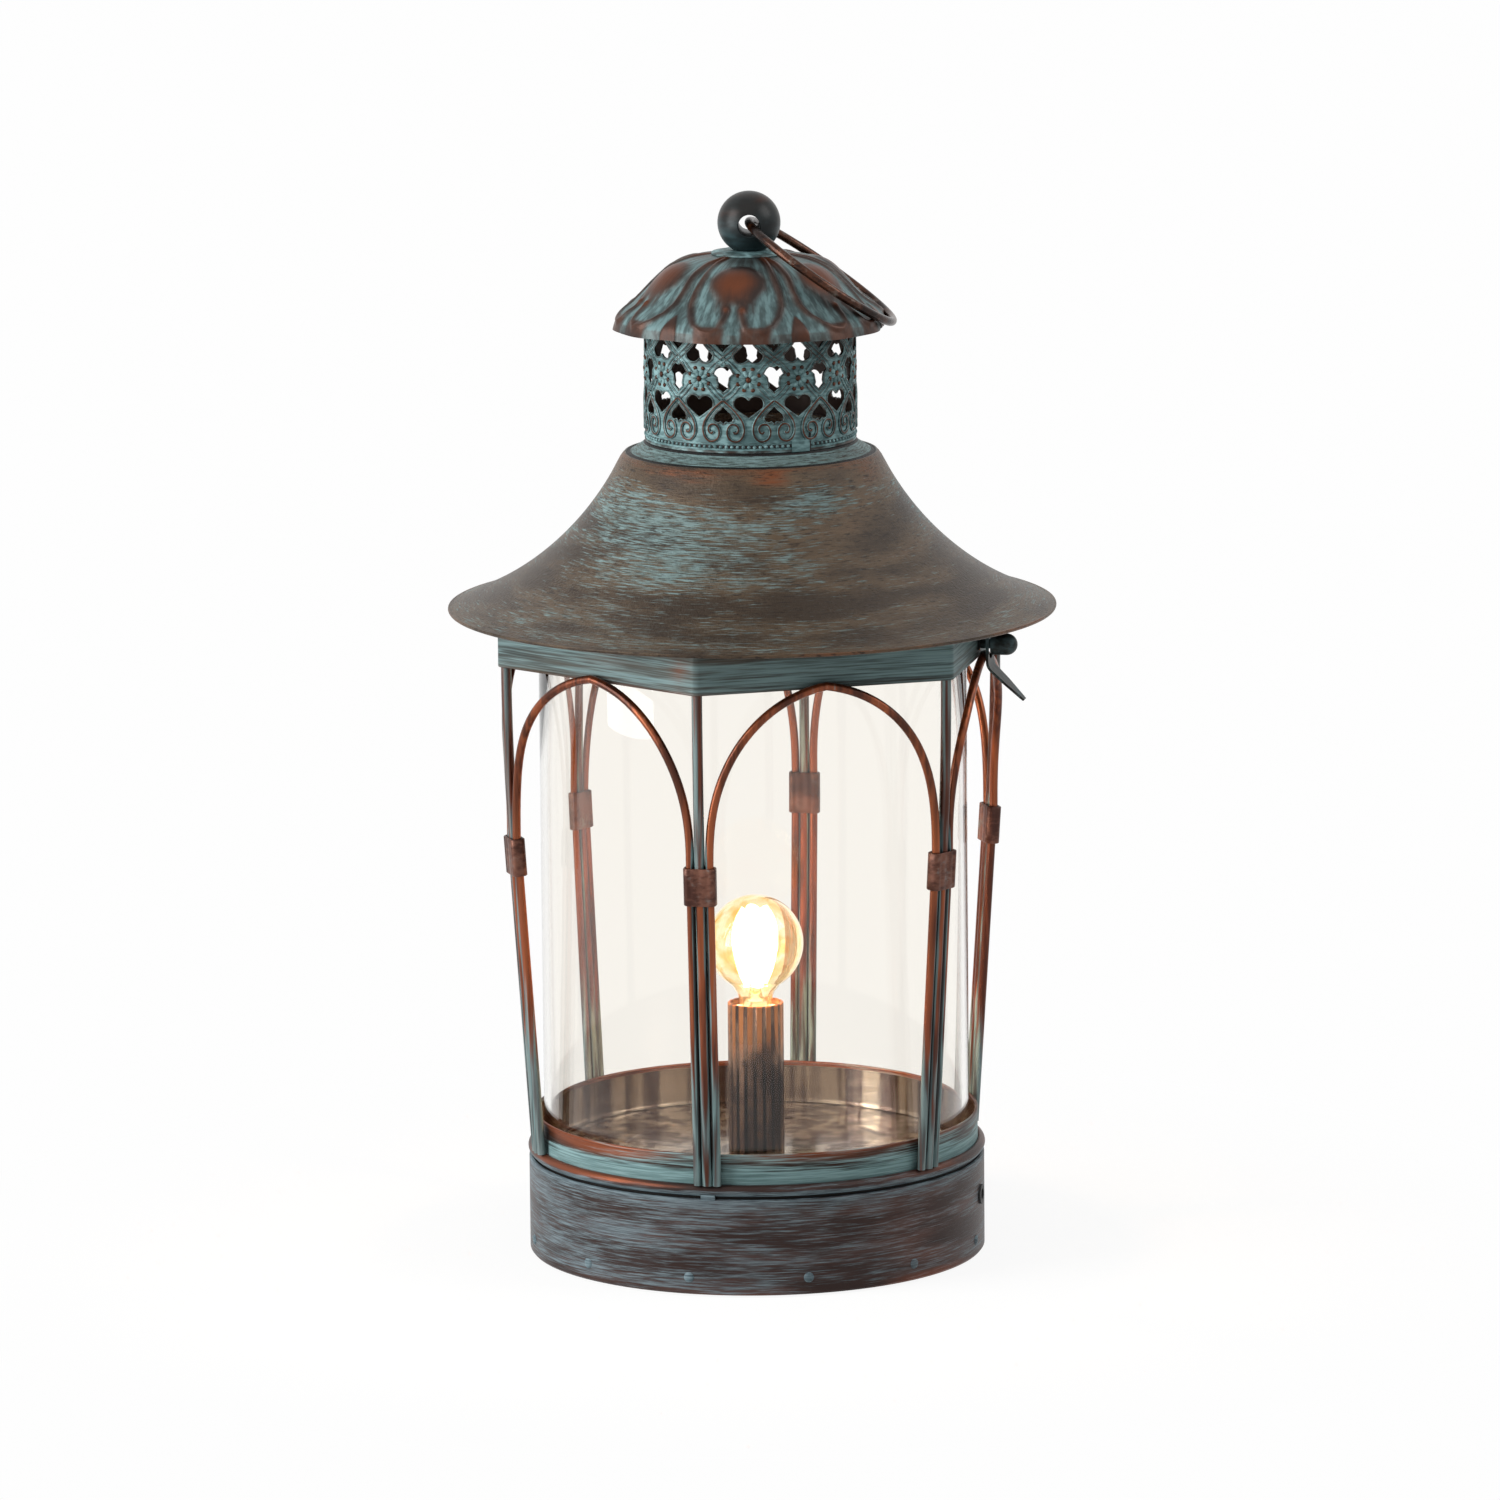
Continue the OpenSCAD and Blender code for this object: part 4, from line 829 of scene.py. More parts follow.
def topRing():
    size = {"flat": 106.5, "bend": 4.0, "wall": 1.0, "low": 281.5, "top": 308.905, "edge": 0.3}

    def loop(inset):
        # a hexagon with rounded corners
        bend = max(0.5, size["bend"] - inset)
        mid = (size["flat"] - inset - bend) / math.cos(math.radians(30))

        def corner(turn, off):
            (x, y, _), (dx, dy, _) = polar(mid, turn, 0), polar(bend, turn + off, 0)
            return x + dx, y + dy

        rows = []
        for turn in range(30, 390, 60):
            rows += [corner(turn, off) for off in range(-30, 31, 5)]
            a, b = rows[-1], corner(turn + 60, -30)
            rows += [(lerp(a[0], b[0], s / 16), lerp(a[1], b[1], s / 16)) for s in range(1, 16)]
        return rows

    low, top, edge, wall = size["low"], size["top"], size["edge"], size["wall"]
    # (inset, height, wear), up the outside and down the inside
    levels = [(edge, low, 0.35), (0, low + edge, 0.32), (0, low + 1.6, 0.15), (0, 286, 0.0), (0, 292, 0.0),
              (0, 298, 0.0), (0, 304, 0.0), (0, top - edge, 0.2), (edge, top, 0.3), (wall - edge, top, 0.3),
              (wall, top - edge, 0.2), (wall, 295, 0.2), (wall, low + edge, 0.3), (wall - edge, low, 0.35)]
    points, wearAndShade = [], []
    for inset, z, worn in levels:
        rows = loop(inset)
        points += [(x, y, z) for x, y in rows]
        wearAndShade += [worn] * len(rows)
    faces = gridFaces(len(levels), len(rows), True, True)
    brushed(points, wearAndShade, [(-26, 293, 15, 11, 0.26), (-4, 292, 4, 9, 0.36), (8, 299, 8, 6, 0.3),
                           (28, 304, 16, 4, 0.2), (46, 290, 20, 20, -0.2), (62, 294, 16, 20, -0.2)])
    mesh = newMesh("topRingSkin", points, faceOutwards(points, faces), wearAndShade=wearAndShade)
    return placePiece("topRingSkin", mesh, "frame", ringPatina, ["top_ring"])


topRing()
print("posts, arches, clips and ring made")


# Roof.

bellSize = {
    "neck": (48.4, 381.0), "shoulder": (64.6, 364.94), "mid": (183.496, 434.005), "outR": 137.5, "inR": 138.7,
    "brimR": 140.5, "lipR": 1.1, "spigotIn": 46.5, "spigotOut": 47.5, "spigotTop": 386.0,
}


def bellZ(r, radius):
    return bellSize["mid"][1] - math.sqrt(radius * radius - (bellSize["mid"][0] - r) ** 2)


def roofBell():
    # between the neck and the shoulder lies a shallow valley that ends in a crease
    size = bellSize
    (neckR, neckZ), (shoulderR, shoulderZ) = size["neck"], size["shoulder"]
    end = size["brimR"] - size["lipR"]
    # wear -1 paints shade in the line under the band at the neck and in the crease
    outline = [(size["spigotOut"], neckZ, -1.0), (48.5, 380.8, -1.0), (49.3, 380.0, -1.0), (49.7, 379.6, -0.45),
               (50.4, 378.9, -0.4), (53.4, 377.0, -0.38), (55.1, 375.95, -0.4), (55.6, 375.65, -1.0),
               (56.7, 375.05, -1.0), (57.0, 374.95, -1.0), (57.4, 375.0, -1.0), (57.7, 375.3, 0.1),
               (58.3, 375.25, 0.28), (59.3, 374.2, 0.3), (60.4, 372.7, 0.22), (62.3, 369.2, 0.15),
               (shoulderR, shoulderZ, 0.05)]
    for s in range(1, 57):
        r = lerp(shoulderR, end, s / 56)
        outline.append((r, bellZ(r, size["outR"]), 0.1 * math.exp(-((end - r) / 1.5) ** 2)))
    outline += arcPoints((end, bellZ(end, size["outR"] + 0.6)), size["lipR"], 50, -140, 12, 0.22)[1:]
    # back along the inside, up to the spigot that carries the band
    for s in range(28, -1, -1):
        r = lerp(shoulderR, end - 1.4, s / 28)
        outline.append((r, bellZ(r, size["inR"]), 0.0))
    for across, down in ((0.86, 0.735), (0.74, 0.517), (0.59, 0.355), (0.32, 0.18), (0, 0)):
        outline.append((lerp(neckR, shoulderR, across) - 0.9, lerp(neckZ, shoulderZ, down) - 1.2, 0.0))
    outline += [(size["spigotIn"], neckZ - 1.2, 0.0), (size["spigotIn"], size["spigotTop"], 0.0),
                (size["spigotOut"], size["spigotTop"], 0.0)]
    # where the brush left more patina or more copper
    patches = [(-32, 352, 30, 12, -0.27), (-8, 338, 26, 9, -0.16), (38, 362, 18, 9, -0.3), (-60, 322, 30, 16, 0.08),
               (-20, 371.5, 20, 3.5, 0.3), (-10, 362, 34, 7, 0.12), (22, 369, 9, 5, 0.26), (66, 335, 34, 40, 0.16),
               (20, 318, 24, 8, 0.05), (48, 352, 24, 12, 0.12),
               (120, 350, 30, 12, -0.3), (160, 330, 28, 10, -0.2), (205, 356, 30, 11, -0.25), (250, 335, 30, 12, -0.22),
               (140, 367, 26, 7, 0.24), (230, 365, 24, 7, 0.24)]
    mesh = turnedMesh("roofBellSkin", outline, 216, patches, 24)
    return placePiece("roofBellSkin", mesh, "roof", roofPatina, ["roof_bell"])


roofBell()


def ballWasher():
    size = {"low": 466.7, "r": 17.5, "topR": 13.5, "hole": 2.5, "tall": 1.6}
    low, r, topR, top = size["low"], size["r"], size["topR"], size["low"] + size["tall"]
    outline = [(size["hole"], low, 0.0), (r - 0.2, low, 0.0), (r, low + 0.2, 0.1), (r, low + 0.6, 0.14),
               (r - 0.3, low + 0.9, 0.1), (topR + 0.3, low + 1.5, 0.0), (topR, top, 0.0), (size["hole"], top, 0.0)]
    mesh = turnedMesh("ballWasherSkin", outline, 96, creaseDeg=60)
    return placePiece("ballWasherSkin", mesh, "roof", bandPatina, ["ball_washer"])


ballHole = Vector((0.2164, -0.9763, 0)).normalized()  # the way that the ring's hole runs


def ballFinial():
    # turned ball with the ring's hole bored through; rings of its mesh run round the hole's own axis
    size = {"mid": 481.0, "r": 14.5, "flat": 468.4, "hole": 4.93, "edge": 0.5}
    r, hole, edge = size["r"], size["hole"], size["edge"]
    axis, up = ballHole, Vector((0, 0, 1))
    side = axis.cross(up)
    half = math.sqrt(r ** 2 - (hole + edge) ** 2)
    # (place along the hole, distance from its axis): its eased edge, the ball, and the other edge
    profile = [(half - edge * 0.9 - 0.15, hole), (half + 0.1 - edge * 0.4, hole + edge * 0.35), (half, hole + edge)]
    first, steps, around = math.asin((hole + edge) / r), 40, 72
    for s in range(1, steps):
        a = lerp(first, math.pi - first, s / steps)
        profile.append((r * math.cos(a), r * math.sin(a)))
    profile += [(-x, r) for x, r in profile[2::-1]]
    points = []
    for x, r in profile:
        for j in range(around):
            a = 2 * math.pi * j / around
            p = axis * x + side * (r * math.cos(a)) + up * (r * math.sin(a))
            z = max(p.z, size["flat"] - size["mid"])
            points.append((p.x, p.y, z + size["mid"]))
    faces = gridFaces(len(profile), around, True, True)
    wearAndShade = [lerp(-0.3, 0.12, limited((p[2] - 470) / 16)) for p in points]
    mesh = newMesh("ballFinialSkin", points, faceOutwards(points, faces), wearAndShade=wearAndShade, creaseDeg=40)
    return placePiece("ballFinialSkin", mesh, "roof", ballPatina, ["ball_finial"])


def carryingRing():
    size = {"r": 40.0, "wire": 2.05, "lean": 35.0, "turn": 12.5, "mid": 481.0}
    lean, turn = math.radians(size["lean"]), math.radians(size["turn"])
    out = Vector((math.cos(lean) * math.cos(turn), math.cos(lean) * math.sin(turn), -math.sin(lean)))
    middle = Vector((0, 0, size["mid"])) + size["r"] * out
    path, steps = [], 120
    for s in range(steps):
        a = 2 * math.pi * s / steps
        path.append(tuple(middle - out * (size["r"] * math.cos(a)) + ballHole * (size["r"] * math.sin(a))))
    mesh = wireMesh("carryingRingSkin", [(path, True)], size["wire"], 24, handleCopper)
    return placePiece("carryingRingSkin", mesh, "handle", handleCopper, ["carrying_ring"])


ballWasher()
ballFinial()
carryingRing()
print("bell, washer, ball and carrying ring made")


# Pierced band.

# One cell of the band is laid out flat, in mm: s round the band from the flower's middle, z up.
bandSize = {
    "r": 48.4, "inR": 47.6, "low": 381.1, "top": 447.9, "cells": 13, "turn": 11.3 - 90.0, "flowerZ": 414.9,
    "step": 1.15, "line": 0.78, "thin": 0.44, "bead": 0.85, "beads": 9, "beadZ": 383.9,
    "cutS": 6.85,  # a cell is cut from its neighbour here, clear of the openings
}
cellWidth = 2 * math.pi * bandSize["r"] / bandSize["cells"]
halfCell = cellWidth / 2


def heartLoop(w, h, flip, midS, midZ):
    lobe = w / 4 + 0.2
    rows = [(0, -h / 2)]
    rows += [(w / 2 - lobe + lobe * math.cos(math.radians(a)), h / 2 - lobe + lobe * math.sin(math.radians(a)))
             for a in range(-30, 151, 20)]
    rows += [(-x, y) for x, y in reversed(rows[1:])]
    return [(midS + x, midZ + flip * y) for x, y in rows]


def shieldLoop(midS, midZ):
    w, h = 9.2, 12.6
    right = [(0, h / 2 - 1.2), (w / 4, h / 2), (w / 2, h / 6), (w / 3.4, 0.6), (w / 4.2, -h / 6 - 0.4),
             (w / 3.4, -h / 3.2), (0, -h / 2)]
    return [(midS + x, midZ + y) for x, y in right] + [(midS - x, midZ + y) for x, y in reversed(right[1:-1])]


def spadeLoop(flip, midS, midZ):
    right = [(0, 4.0), (1.6, 2.2), (3.7, 0.4), (4.5, -1.4), (3.8, -2.9), (2.2, -3.3), (1.1, -2.7), (0, -4.0)]
    return [(midS + x, midZ + flip * y) for x, y in right] + \
        [(midS - x, midZ + flip * y) for x, y in reversed(right[1:-1])]


def roundedLoop(loop, step=0.9):
    # the same loop with points every step or so
    n = len(loop)
    rows = []
    for i in range(n):
        a, b = Vector(loop[i]), Vector(loop[(i + 1) % n])
        count = max(1, round((b - a).length / step))
        rows += [tuple(a.lerp(b, s / count)) for s in range(count)]
    return rows


def onBand(s, z, lift=0.0):
    a = s / bandSize["r"]
    return ((bandSize["r"] + lift) * math.cos(a), (bandSize["r"] + lift) * math.sin(a), z)


def bandHoles():
    z = bandSize["flowerZ"]
    return [roundedLoop(loop) for loop in (
        heartLoop(13.4, 9.8, 1, 0, z - 12.6), heartLoop(13.4, 9.8, -1, 0, z + 12.6), shieldLoop(-halfCell, z + 0.4),
        spadeLoop(1, -halfCell, z - 16.4), spadeLoop(-1, -halfCell, z + 16.8))]


def bandPlate():
    # the flat sheet of one cell between s0 and s1, with its five openings, bent round the neck
    s1 = bandSize["cutS"]
    s0 = s1 - cellWidth
    low, top = bandSize["low"], bandSize["top"]
    points, edges = [], []

    def addLoop(loop):
        base = len(points)
        points.extend(Vector(p) for p in loop)
        edges.extend((base + i, base + (i + 1) % len(loop)) for i in range(len(loop)))

    columns, rows = 20, 54
    side = [lerp(low, top, i / rows) for i in range(rows + 1)]
    frameLoop = [(lerp(s0, s1, i / columns), low) for i in range(columns)] + [(s1, z) for z in side[:-1]]
    frameLoop += [(lerp(s1, s0, i / columns), top) for i in range(columns)] + [(s0, z) for z in side[:0:-1]]
    addLoop(frameLoop)
    holes = bandHoles()
    for loop in holes:
        addLoop(loop)
    rims = np.array([p for loop in holes for p in loop])
    step = bandSize["step"]
    for j in range(1, int((top - low) / step)):
        z = low + step * j
        for i in range(1, int(cellWidth / step)):
            s = s0 + step * (i + 0.5 * (j % 2))
            if s0 + 0.4 < s < s1 - 0.4 and np.hypot(*(rims - (s, z)).T).min() > 0.55:
                points.append(Vector((s, z)))
    vertices, _, faces, _, _, _ = delaunay_2d_cdt(points, edges, [], 0, 1e-5)

    s, z = np.array([[sum(vertices[i][c] for i in f) / len(f) for f in faces] for c in (0, 1)])
    keep = (s0 < s) & (s < s1) & ~np.any([insideLoop(loop, s, z) for loop in holes], 0)
    kept = [tuple(f) for f, use in zip(faces, keep) if use]
    count = len(vertices)
    solid = [onBand(v[0], v[1]) for v in vertices]
    solid += [onBand(v[0], v[1], bandSize["inR"] - bandSize["r"]) for v in vertices]
    used = dict.fromkeys((f[i], f[(i + 1) % len(f)]) for f in kept for i in range(len(f)))
    skin = kept + [tuple(count + i for i in reversed(f)) for f in kept]
    for a, b in used:
        # a rim of an opening or of the band, and not a side that the next cell joins
        if (b, a) not in used and any(min(abs(vertices[i][0] - s0), abs(vertices[i][0] - s1)) > 1e-3 for i in (a, b)):
            skin.append((b, a, count + a, count + b))
    nearest = [np.hypot(*(rims - tuple(v)).T).min() for v in vertices]
    # bare round the openings, and painted shade between the beads
    worn = {"plain": -0.16, "rim": 0.5, "rimMm": 1.3, "dark": -0.95, "darkMm": 0.9}
    wearAndShade = [worn["plain"] + worn["rim"] * max(0.0, 1 - d / worn["rimMm"])
            if abs(v[1] - bandSize["beadZ"]) > worn["darkMm"] else worn["dark"] for d, v in zip(nearest, vertices)]
    wearAndShade += [0.3] * count
    return newMesh("bandCell", solid, skin, wearAndShade=wearAndShade, creaseDeg=50)


def besideLine(rows, gap):
    # the same line moved sideways by gap
    out = []
    for i, p in enumerate(rows):
        a, b = Vector(rows[max(i - 1, 0)]), Vector(rows[min(i + 1, len(rows) - 1)])
        way = (b - a).normalized()
        out.append((p[0] - way.y * gap, p[1] + way.x * gap))
    return out


def bandLines():
    # raised lines of one cell, each a path of (s, z): scrolled arches, rims of the openings, lattice
    z = bandSize["flowerZ"]
    lines, thin = [], []
    scroll = [(0, 405.3), (1.5, 404.2), (4.2, 401.8), (7.0, 398.6), (9.0, 395.3), (9.7, 391.8), (9.0, 388.8),
              (7.3, 386.9), (5.2, 386.5), (3.0, 387.5), (1.9, 389.7), (2.1, 392.4), (3.7, 394.3), (5.9, 394.2),
              (7.1, 392.6), (6.7, 390.8), (5.4, 390.2), (4.8, 391.2)]
    innerArch = [(0.2, 403.4), (2.9, 401.1), (5.2, 398.4), (6.4, 396.3)]
    for side in (-1, 1):
        lines.append(smoothPath([(side * s - halfCell, zz) for s, zz in scroll]))
        thin.append(smoothPath([(side * s - halfCell, zz) for s, zz in innerArch]))
        lower = smoothPath([(-halfCell, 405.3), (-halfCell + side * 4.0, z - 6.2), (-halfCell + side * 7.3, z - 2.2)])
        upper = smoothPath([(-halfCell + side * 7.3, z + 2.2), (-halfCell + side * 4.0, z + 6.0), (-halfCell, z + 9.2),
                            (-halfCell + side * -4.4, z + 12.6), (-halfCell + side * -8.4, z + 16.6),
                            (-halfCell + side * -10.6, z + 21.0)])
        thin += [besideLine(line, gap) for line in (lower, upper) for gap in (0.95, -0.95)]
    for loop in bandHoles():
        # each opening has a rim, half a millimetre outside it
        midS, midZ = [sum(p[c] for p in loop) / len(loop) for c in (0, 1)]
        grown = []
        for s, zz in loop:
            d = math.hypot(s - midS, zz - midZ)
            grown.append((s + (s - midS) * 0.5 / d, zz + (zz - midZ) * 0.5 / d))
        thin.append(grown + [grown[0]])
    return lines, thin


def shadeBesideLines(mesh, top):
    # painted shade: both sides of a raised line are darkened
    layer = mesh.attributes["wearAndShade"].data
    for i, vertex in enumerate(mesh.vertices):
        out = Vector((vertex.co.x, vertex.co.y, 0)).normalized()
        share = limited((vertex.normal.dot(out) - 0.45) / 0.4)
        layer[i].value = lerp(-0.95, top, share)


def roundBand(mesh, name, weldMm=0.0, creaseDeg=40):
    return copyRound(mesh, bandSize["cells"], bandSize["turn"], bandPatina, name, weldMm, creaseDeg)


def bandFlower():
    # flower of eight petals round a boss, and the row of beads along the lower edge
    size = {"petals": 8, "petalR": 2.9, "petal": (1.9, 1.15, 0.8), "tipR": 5.2, "tip": (1.0, 1.1, 0.6),
            "boss": (1.25, 1.5, 1.0), "bead": (bandSize["bead"], bandSize["bead"], 0.7)}
    parts = []
    out, side, up = Vector((1, 0, 0)), Vector((0, 1, 0)), Vector((0, 0, 1))
    z = bandSize["flowerZ"]
    for k in range(size["petals"]):
        a = math.radians(360 / size["petals"] * (k + 0.5))
        along = side * math.cos(a) + up * math.sin(a)
        axes = (along, out.cross(along), out)
        middle = onBand(size["petalR"] * math.cos(a), z + size["petalR"] * math.sin(a), -0.05)
        parts.append(blob(middle, axes, size["petal"], 12, 6, -0.2))
        tip = onBand(size["tipR"] * math.cos(a), z + size["tipR"] * math.sin(a), 0.1)
        parts.append(blob(tip, axes, size["tip"], 8, 5, 0.4))
    parts.append(blob(onBand(0, z, 0.1), (side, up, out), size["boss"], 14, 6, 0.4))
    for k in range(bandSize["beads"]):
        s = lerp(-halfCell, halfCell, (k + 0.5) / bandSize["beads"])
        normal = Vector(onBand(s, 0)) / bandSize["r"]
        parts.append(blob(onBand(s, bandSize["beadZ"]), (up.cross(normal), up, normal), size["bead"], 8, 5, -0.2))
    return partsMesh("bandFlower", parts, 80)


def bandRims():
    size = {"in": 48.1, "face": 48.4, "ease": 0.15, "lap": 49.0}
    parts = []
    for low, high, lift, worn in ((381.0, 382.3, 0.35, 0.2), (385.3, 385.9, 0.25, 0.0)):
        r = size["face"] + lift
        parts.append(revolve([(size["in"], low, worn), (r, low + size["ease"], worn), (r, high - size["ease"], worn),
                              (size["in"], high, worn)], 156))
    # the band's two ends lap here: one end covers the rim and the beads, and a thin strip at its edge is darkened as a
    # painted shadow
    for first, sweep, top, worn in ((-55.0, 10.6, 386.6, -0.25), (-44.4, 0.9, 389.5, -1.0)):
        parts.append(revolve([(size["in"], 380.9, worn), (size["lap"], 381.0, worn), (size["lap"], top - 0.3, worn),
                              (size["in"], top, worn)], 6, first, sweep))
    return partsMesh("bandRims", parts, 60)


def piercedBand():
    insideR = 0.0481
    plate = roundBand(bandPlate(), "piercedBandPlate", 0.02, 50)
    for polygon in plate.polygons:
        flat = Vector((polygon.center.x, polygon.center.y, 0))
        polygon.material_index = int(flat.length < insideR or polygon.normal.dot(flat) < 0)
    placePiece("piercedBandPlate", plate, "roof", [bandPatina, innerLacquer], ["pierced_band"])
    lines, thin = bandLines()
    # worn is the wear of a wire before painted shade darkens its sides, and top what its crest has after that
    for name, paths, lift, radius, sides, worn, top in (
            ("bandScrolls", lines, 0.12, bandSize["line"], 12, 0.26, 0.38),
            ("bandLattice", thin, 0.05, bandSize["thin"], 8, 0.28, 0.36)):
        rows = [([onBand(s, z, lift) for s, z in path], False) for path in paths]
        mesh = roundBand(wireMesh(name + "Cell", rows, radius, sides, bandPatina, worn), name)
        shadeBesideLines(mesh, top)
        placePiece(name, mesh, "roof", bandPatina)
    for name, mesh in (("bandFlowers", roundBand(bandFlower(), "bandFlowers", creaseDeg=80)), ("bandRims", bandRims())):
        placePiece(name, mesh, "roof", bandPatina)


piercedBand()
print("pierced band made")


# Petal cap.

capSize = {
    "r": 62.8, "low": 433.2, "h": 33.4, "wall": 1.1, "hole": 2.6, "petals": 6, "turn": 4.5 - 90.0, "columns": 96,
    "rows": 64,
}
# half the section, from the top to the rim: (mm in from the rim, share of the height)
capOutline = [(45.8, 1), (35.8, .95), (28.4, .865), (23.8, .78), (17.8, .615), (12.8, .46), (8.8, .345), (5.6, .275),
              (2.8, .195), (1, .11), (0, 0)]
# one edge of a petal's raised outline: (degrees from the petal's middle, distance from the lamp's axis in mm)
petalEdge = [(27.5, 18), (27.2, 22), (25.5, 31), (25, 39), (25.8, 45), (24.8, 50), (21.8, 54.7), (18, 59), (13.5, 60.9),
             (9, 61.3), (6, 60), (4.5, 56), (3.5, 52)]
# half the outline of the boss within it, in the same way
bossEdge = [(0, 30.6), (8, 31.2), (14.5, 34), (18.7, 39), (17.5, 43), (14.4, 45), (10.8, 48), (9.7, 52), (8, 49.6),
            (6.5, 52.4), (4, 52.6), (2, 50.2), (0, 50)]


def capPetal():
    # The section is measured along its own length; place is that length and across the distance from the
    # petal's middle line, both in mm, at each point of the grid.
    rim = [(capSize["r"] - d, capSize["low"] + capSize["h"] * share) for d, share in capOutline]
    run = [Vector((r, rim[0][1])) for r in (capSize["hole"], 9.0)] + [Vector(p) for p in smoothPath(rim, 6)]
    length = [0.0]
    for a, b in zip(run, run[1:]):
        length.append(length[-1] + (b - a).length)
    start, whole = length[2], length[-1]
    rows = [0.0, length[1]] + [start + (whole - start) * i / capSize["rows"] for i in range(capSize["rows"] + 1)]
    arc = np.array(rows)
    runR, runZ = [np.interp(rows, length, [p[c] for p in run]) for c in (0, 1)]
    stepR, stepZ = np.gradient(runR, arc), np.gradient(runZ, arc)
    size = np.hypot(stepR, stepZ)
    turn = np.radians(np.linspace(-30, 30, capSize["columns"] + 1))
    turn, place = np.meshgrid(turn, arc)
    radius, height = np.interp(place, arc, runR), np.interp(place, arc, runZ)
    normalR, normalZ = np.interp(place, arc, -stepZ / size), np.interp(place, arc, stepR / size)
    across = np.abs(turn) * radius

    def lengthAt(r):
        return np.interp(r, runR, arc)

    def flat(path):
        radii = np.array([r for _, r in path], float)
        return np.stack([np.radians([t for t, _ in path]) * radii, lengthAt(radii)], -1)

    def lineDistance(path):
        best = np.full(across.shape, 1e9)
        for a, b in zip(path, path[1:]):
            ab = b - a
            t = np.clip(((across - a[0]) * ab[0] + (place - a[1]) * ab[1]) / (ab @ ab), 0, 1)
            best = np.minimum(best, np.hypot(across - a[0] - t * ab[0], place - a[1] - t * ab[1]))
        return best

    def bump(d, width, edge):
        # 1 where d is well under width, 0 well over it
        return 1 / (1 + np.exp((d - width) / edge))

    edgeGap = lineDistance(flat(petalEdge))
    bossPath = flat(bossEdge)
    bossLoop = np.concatenate([bossPath, [[-5, bossPath[-1][1]], [-5, bossPath[0][1]]]])
    bossGap = lineDistance(bossPath)
    bossGap = np.where(insideLoop(bossLoop, across, place), -bossGap, bossGap)
    outline, boss = bump(edgeGap, 1.15, 0.3), bump(bossGap, -0.3, 0.5)
    swell = np.exp(-(across / 9.5) ** 2 - ((place - lengthAt(40)) / 9.0) ** 2)
    rib = bump(across, 1.35, 0.18) * bump(lengthAt(53.5) - place, 0, 0.3)
    # between two petals: a valley, and a small leaf at the rim
    mouth = np.radians(30) * radius - across
    leafHalf = np.interp(radius, [54, 62.3], [0.0, 4.7])
    leaf = bump(mouth - leafHalf, 0.0, 0.2) * bump(lengthAt(54) - place, 0, 0.3)
    valley = np.exp(-(mouth / 1.6) ** 2) * bump(place - lengthAt(54), 0, 0.5) * bump(lengthAt(18) - place, 0, 1)
    share = np.clip((place - start) / (whole - start), 0, 1)
    dome = 0.55 * np.cos(turn * capSize["petals"]) * np.sin(share * math.pi)
    lift = 1.05 * outline + boss * (0.55 + 0.95 * swell) + 0.3 * rib + 0.6 * leaf - 0.6 * valley + dome
    # the wear: edge and boss rubbed to copper, and so are leaf, foot and the crown round the washer
    foot = bump(lengthAt(59.4) - place, 0, 0.4) * bump(np.abs(across - 11.0), 7.6, 0.6)
    ridge, stainAndReflection, core = bump(edgeGap, 1.8, 0.55), bump(bossGap, 0.1, 0.9), bump(bossGap, -2.2, 1.3)
    worn = -0.16 + 0.42 * ridge + 0.4 * stainAndReflection + 0.42 * core * swell
    worn = np.maximum(worn, np.maximum(0.34 * leaf, 0.3 * foot) - 0.16 * (1 - np.maximum(leaf, foot)))
    worn = np.minimum(worn, 0.62) + 0.2 * bump(place, lengthAt(27), 2.5)
    worn = np.where(radius > 61.8, np.maximum(worn, 0.05), worn)
    lift = lift * np.clip((place - length[1]) / (start - length[1] + 4), 0, 1)
    scallop = share ** 5 * (1.1 * np.cos(turn * capSize["petals"]) - 0.7 * np.cos(2 * turn * capSize["petals"]))
    outer = (radius + lift * normalR + scallop, height + lift * normalZ)
    inner = (np.maximum(radius - capSize["wall"] * normalR + scallop, capSize["hole"]),
             np.maximum(height - capSize["wall"] * normalZ, capSize["low"]))
    points = np.concatenate([np.stack([r * np.cos(turn), r * np.sin(turn), z], -1).reshape(-1, 3)
                             for r, z in (outer, inner)])
    count, columns = turn.shape
    base = count * columns
    faces = []
    for a, b, c, d in gridFaces(count, columns, False, False):
        faces += [(a, d, c, b), (base + a, base + b, base + c, base + d)]
    for j in range(columns - 1):
        last = base - columns + j
        faces += [(last, base + last, base + last + 1, last + 1), (j, j + 1, base + j + 1, base + j)]
    wearAndShade = np.concatenate([worn.ravel(), np.zeros(base)])
    return newMesh("capPetal", points.tolist(), faces, wearAndShade=wearAndShade.tolist(), creaseDeg=60)


capMesh = copyRound(capPetal(), capSize["petals"], capSize["turn"], capPatina, "petalCapSkin", 0.01, 60)
placePiece("petalCapSkin", capMesh, "roof", capPatina, ["petal_cap"])
print("petal cap made")


# Sleeve and bulb.

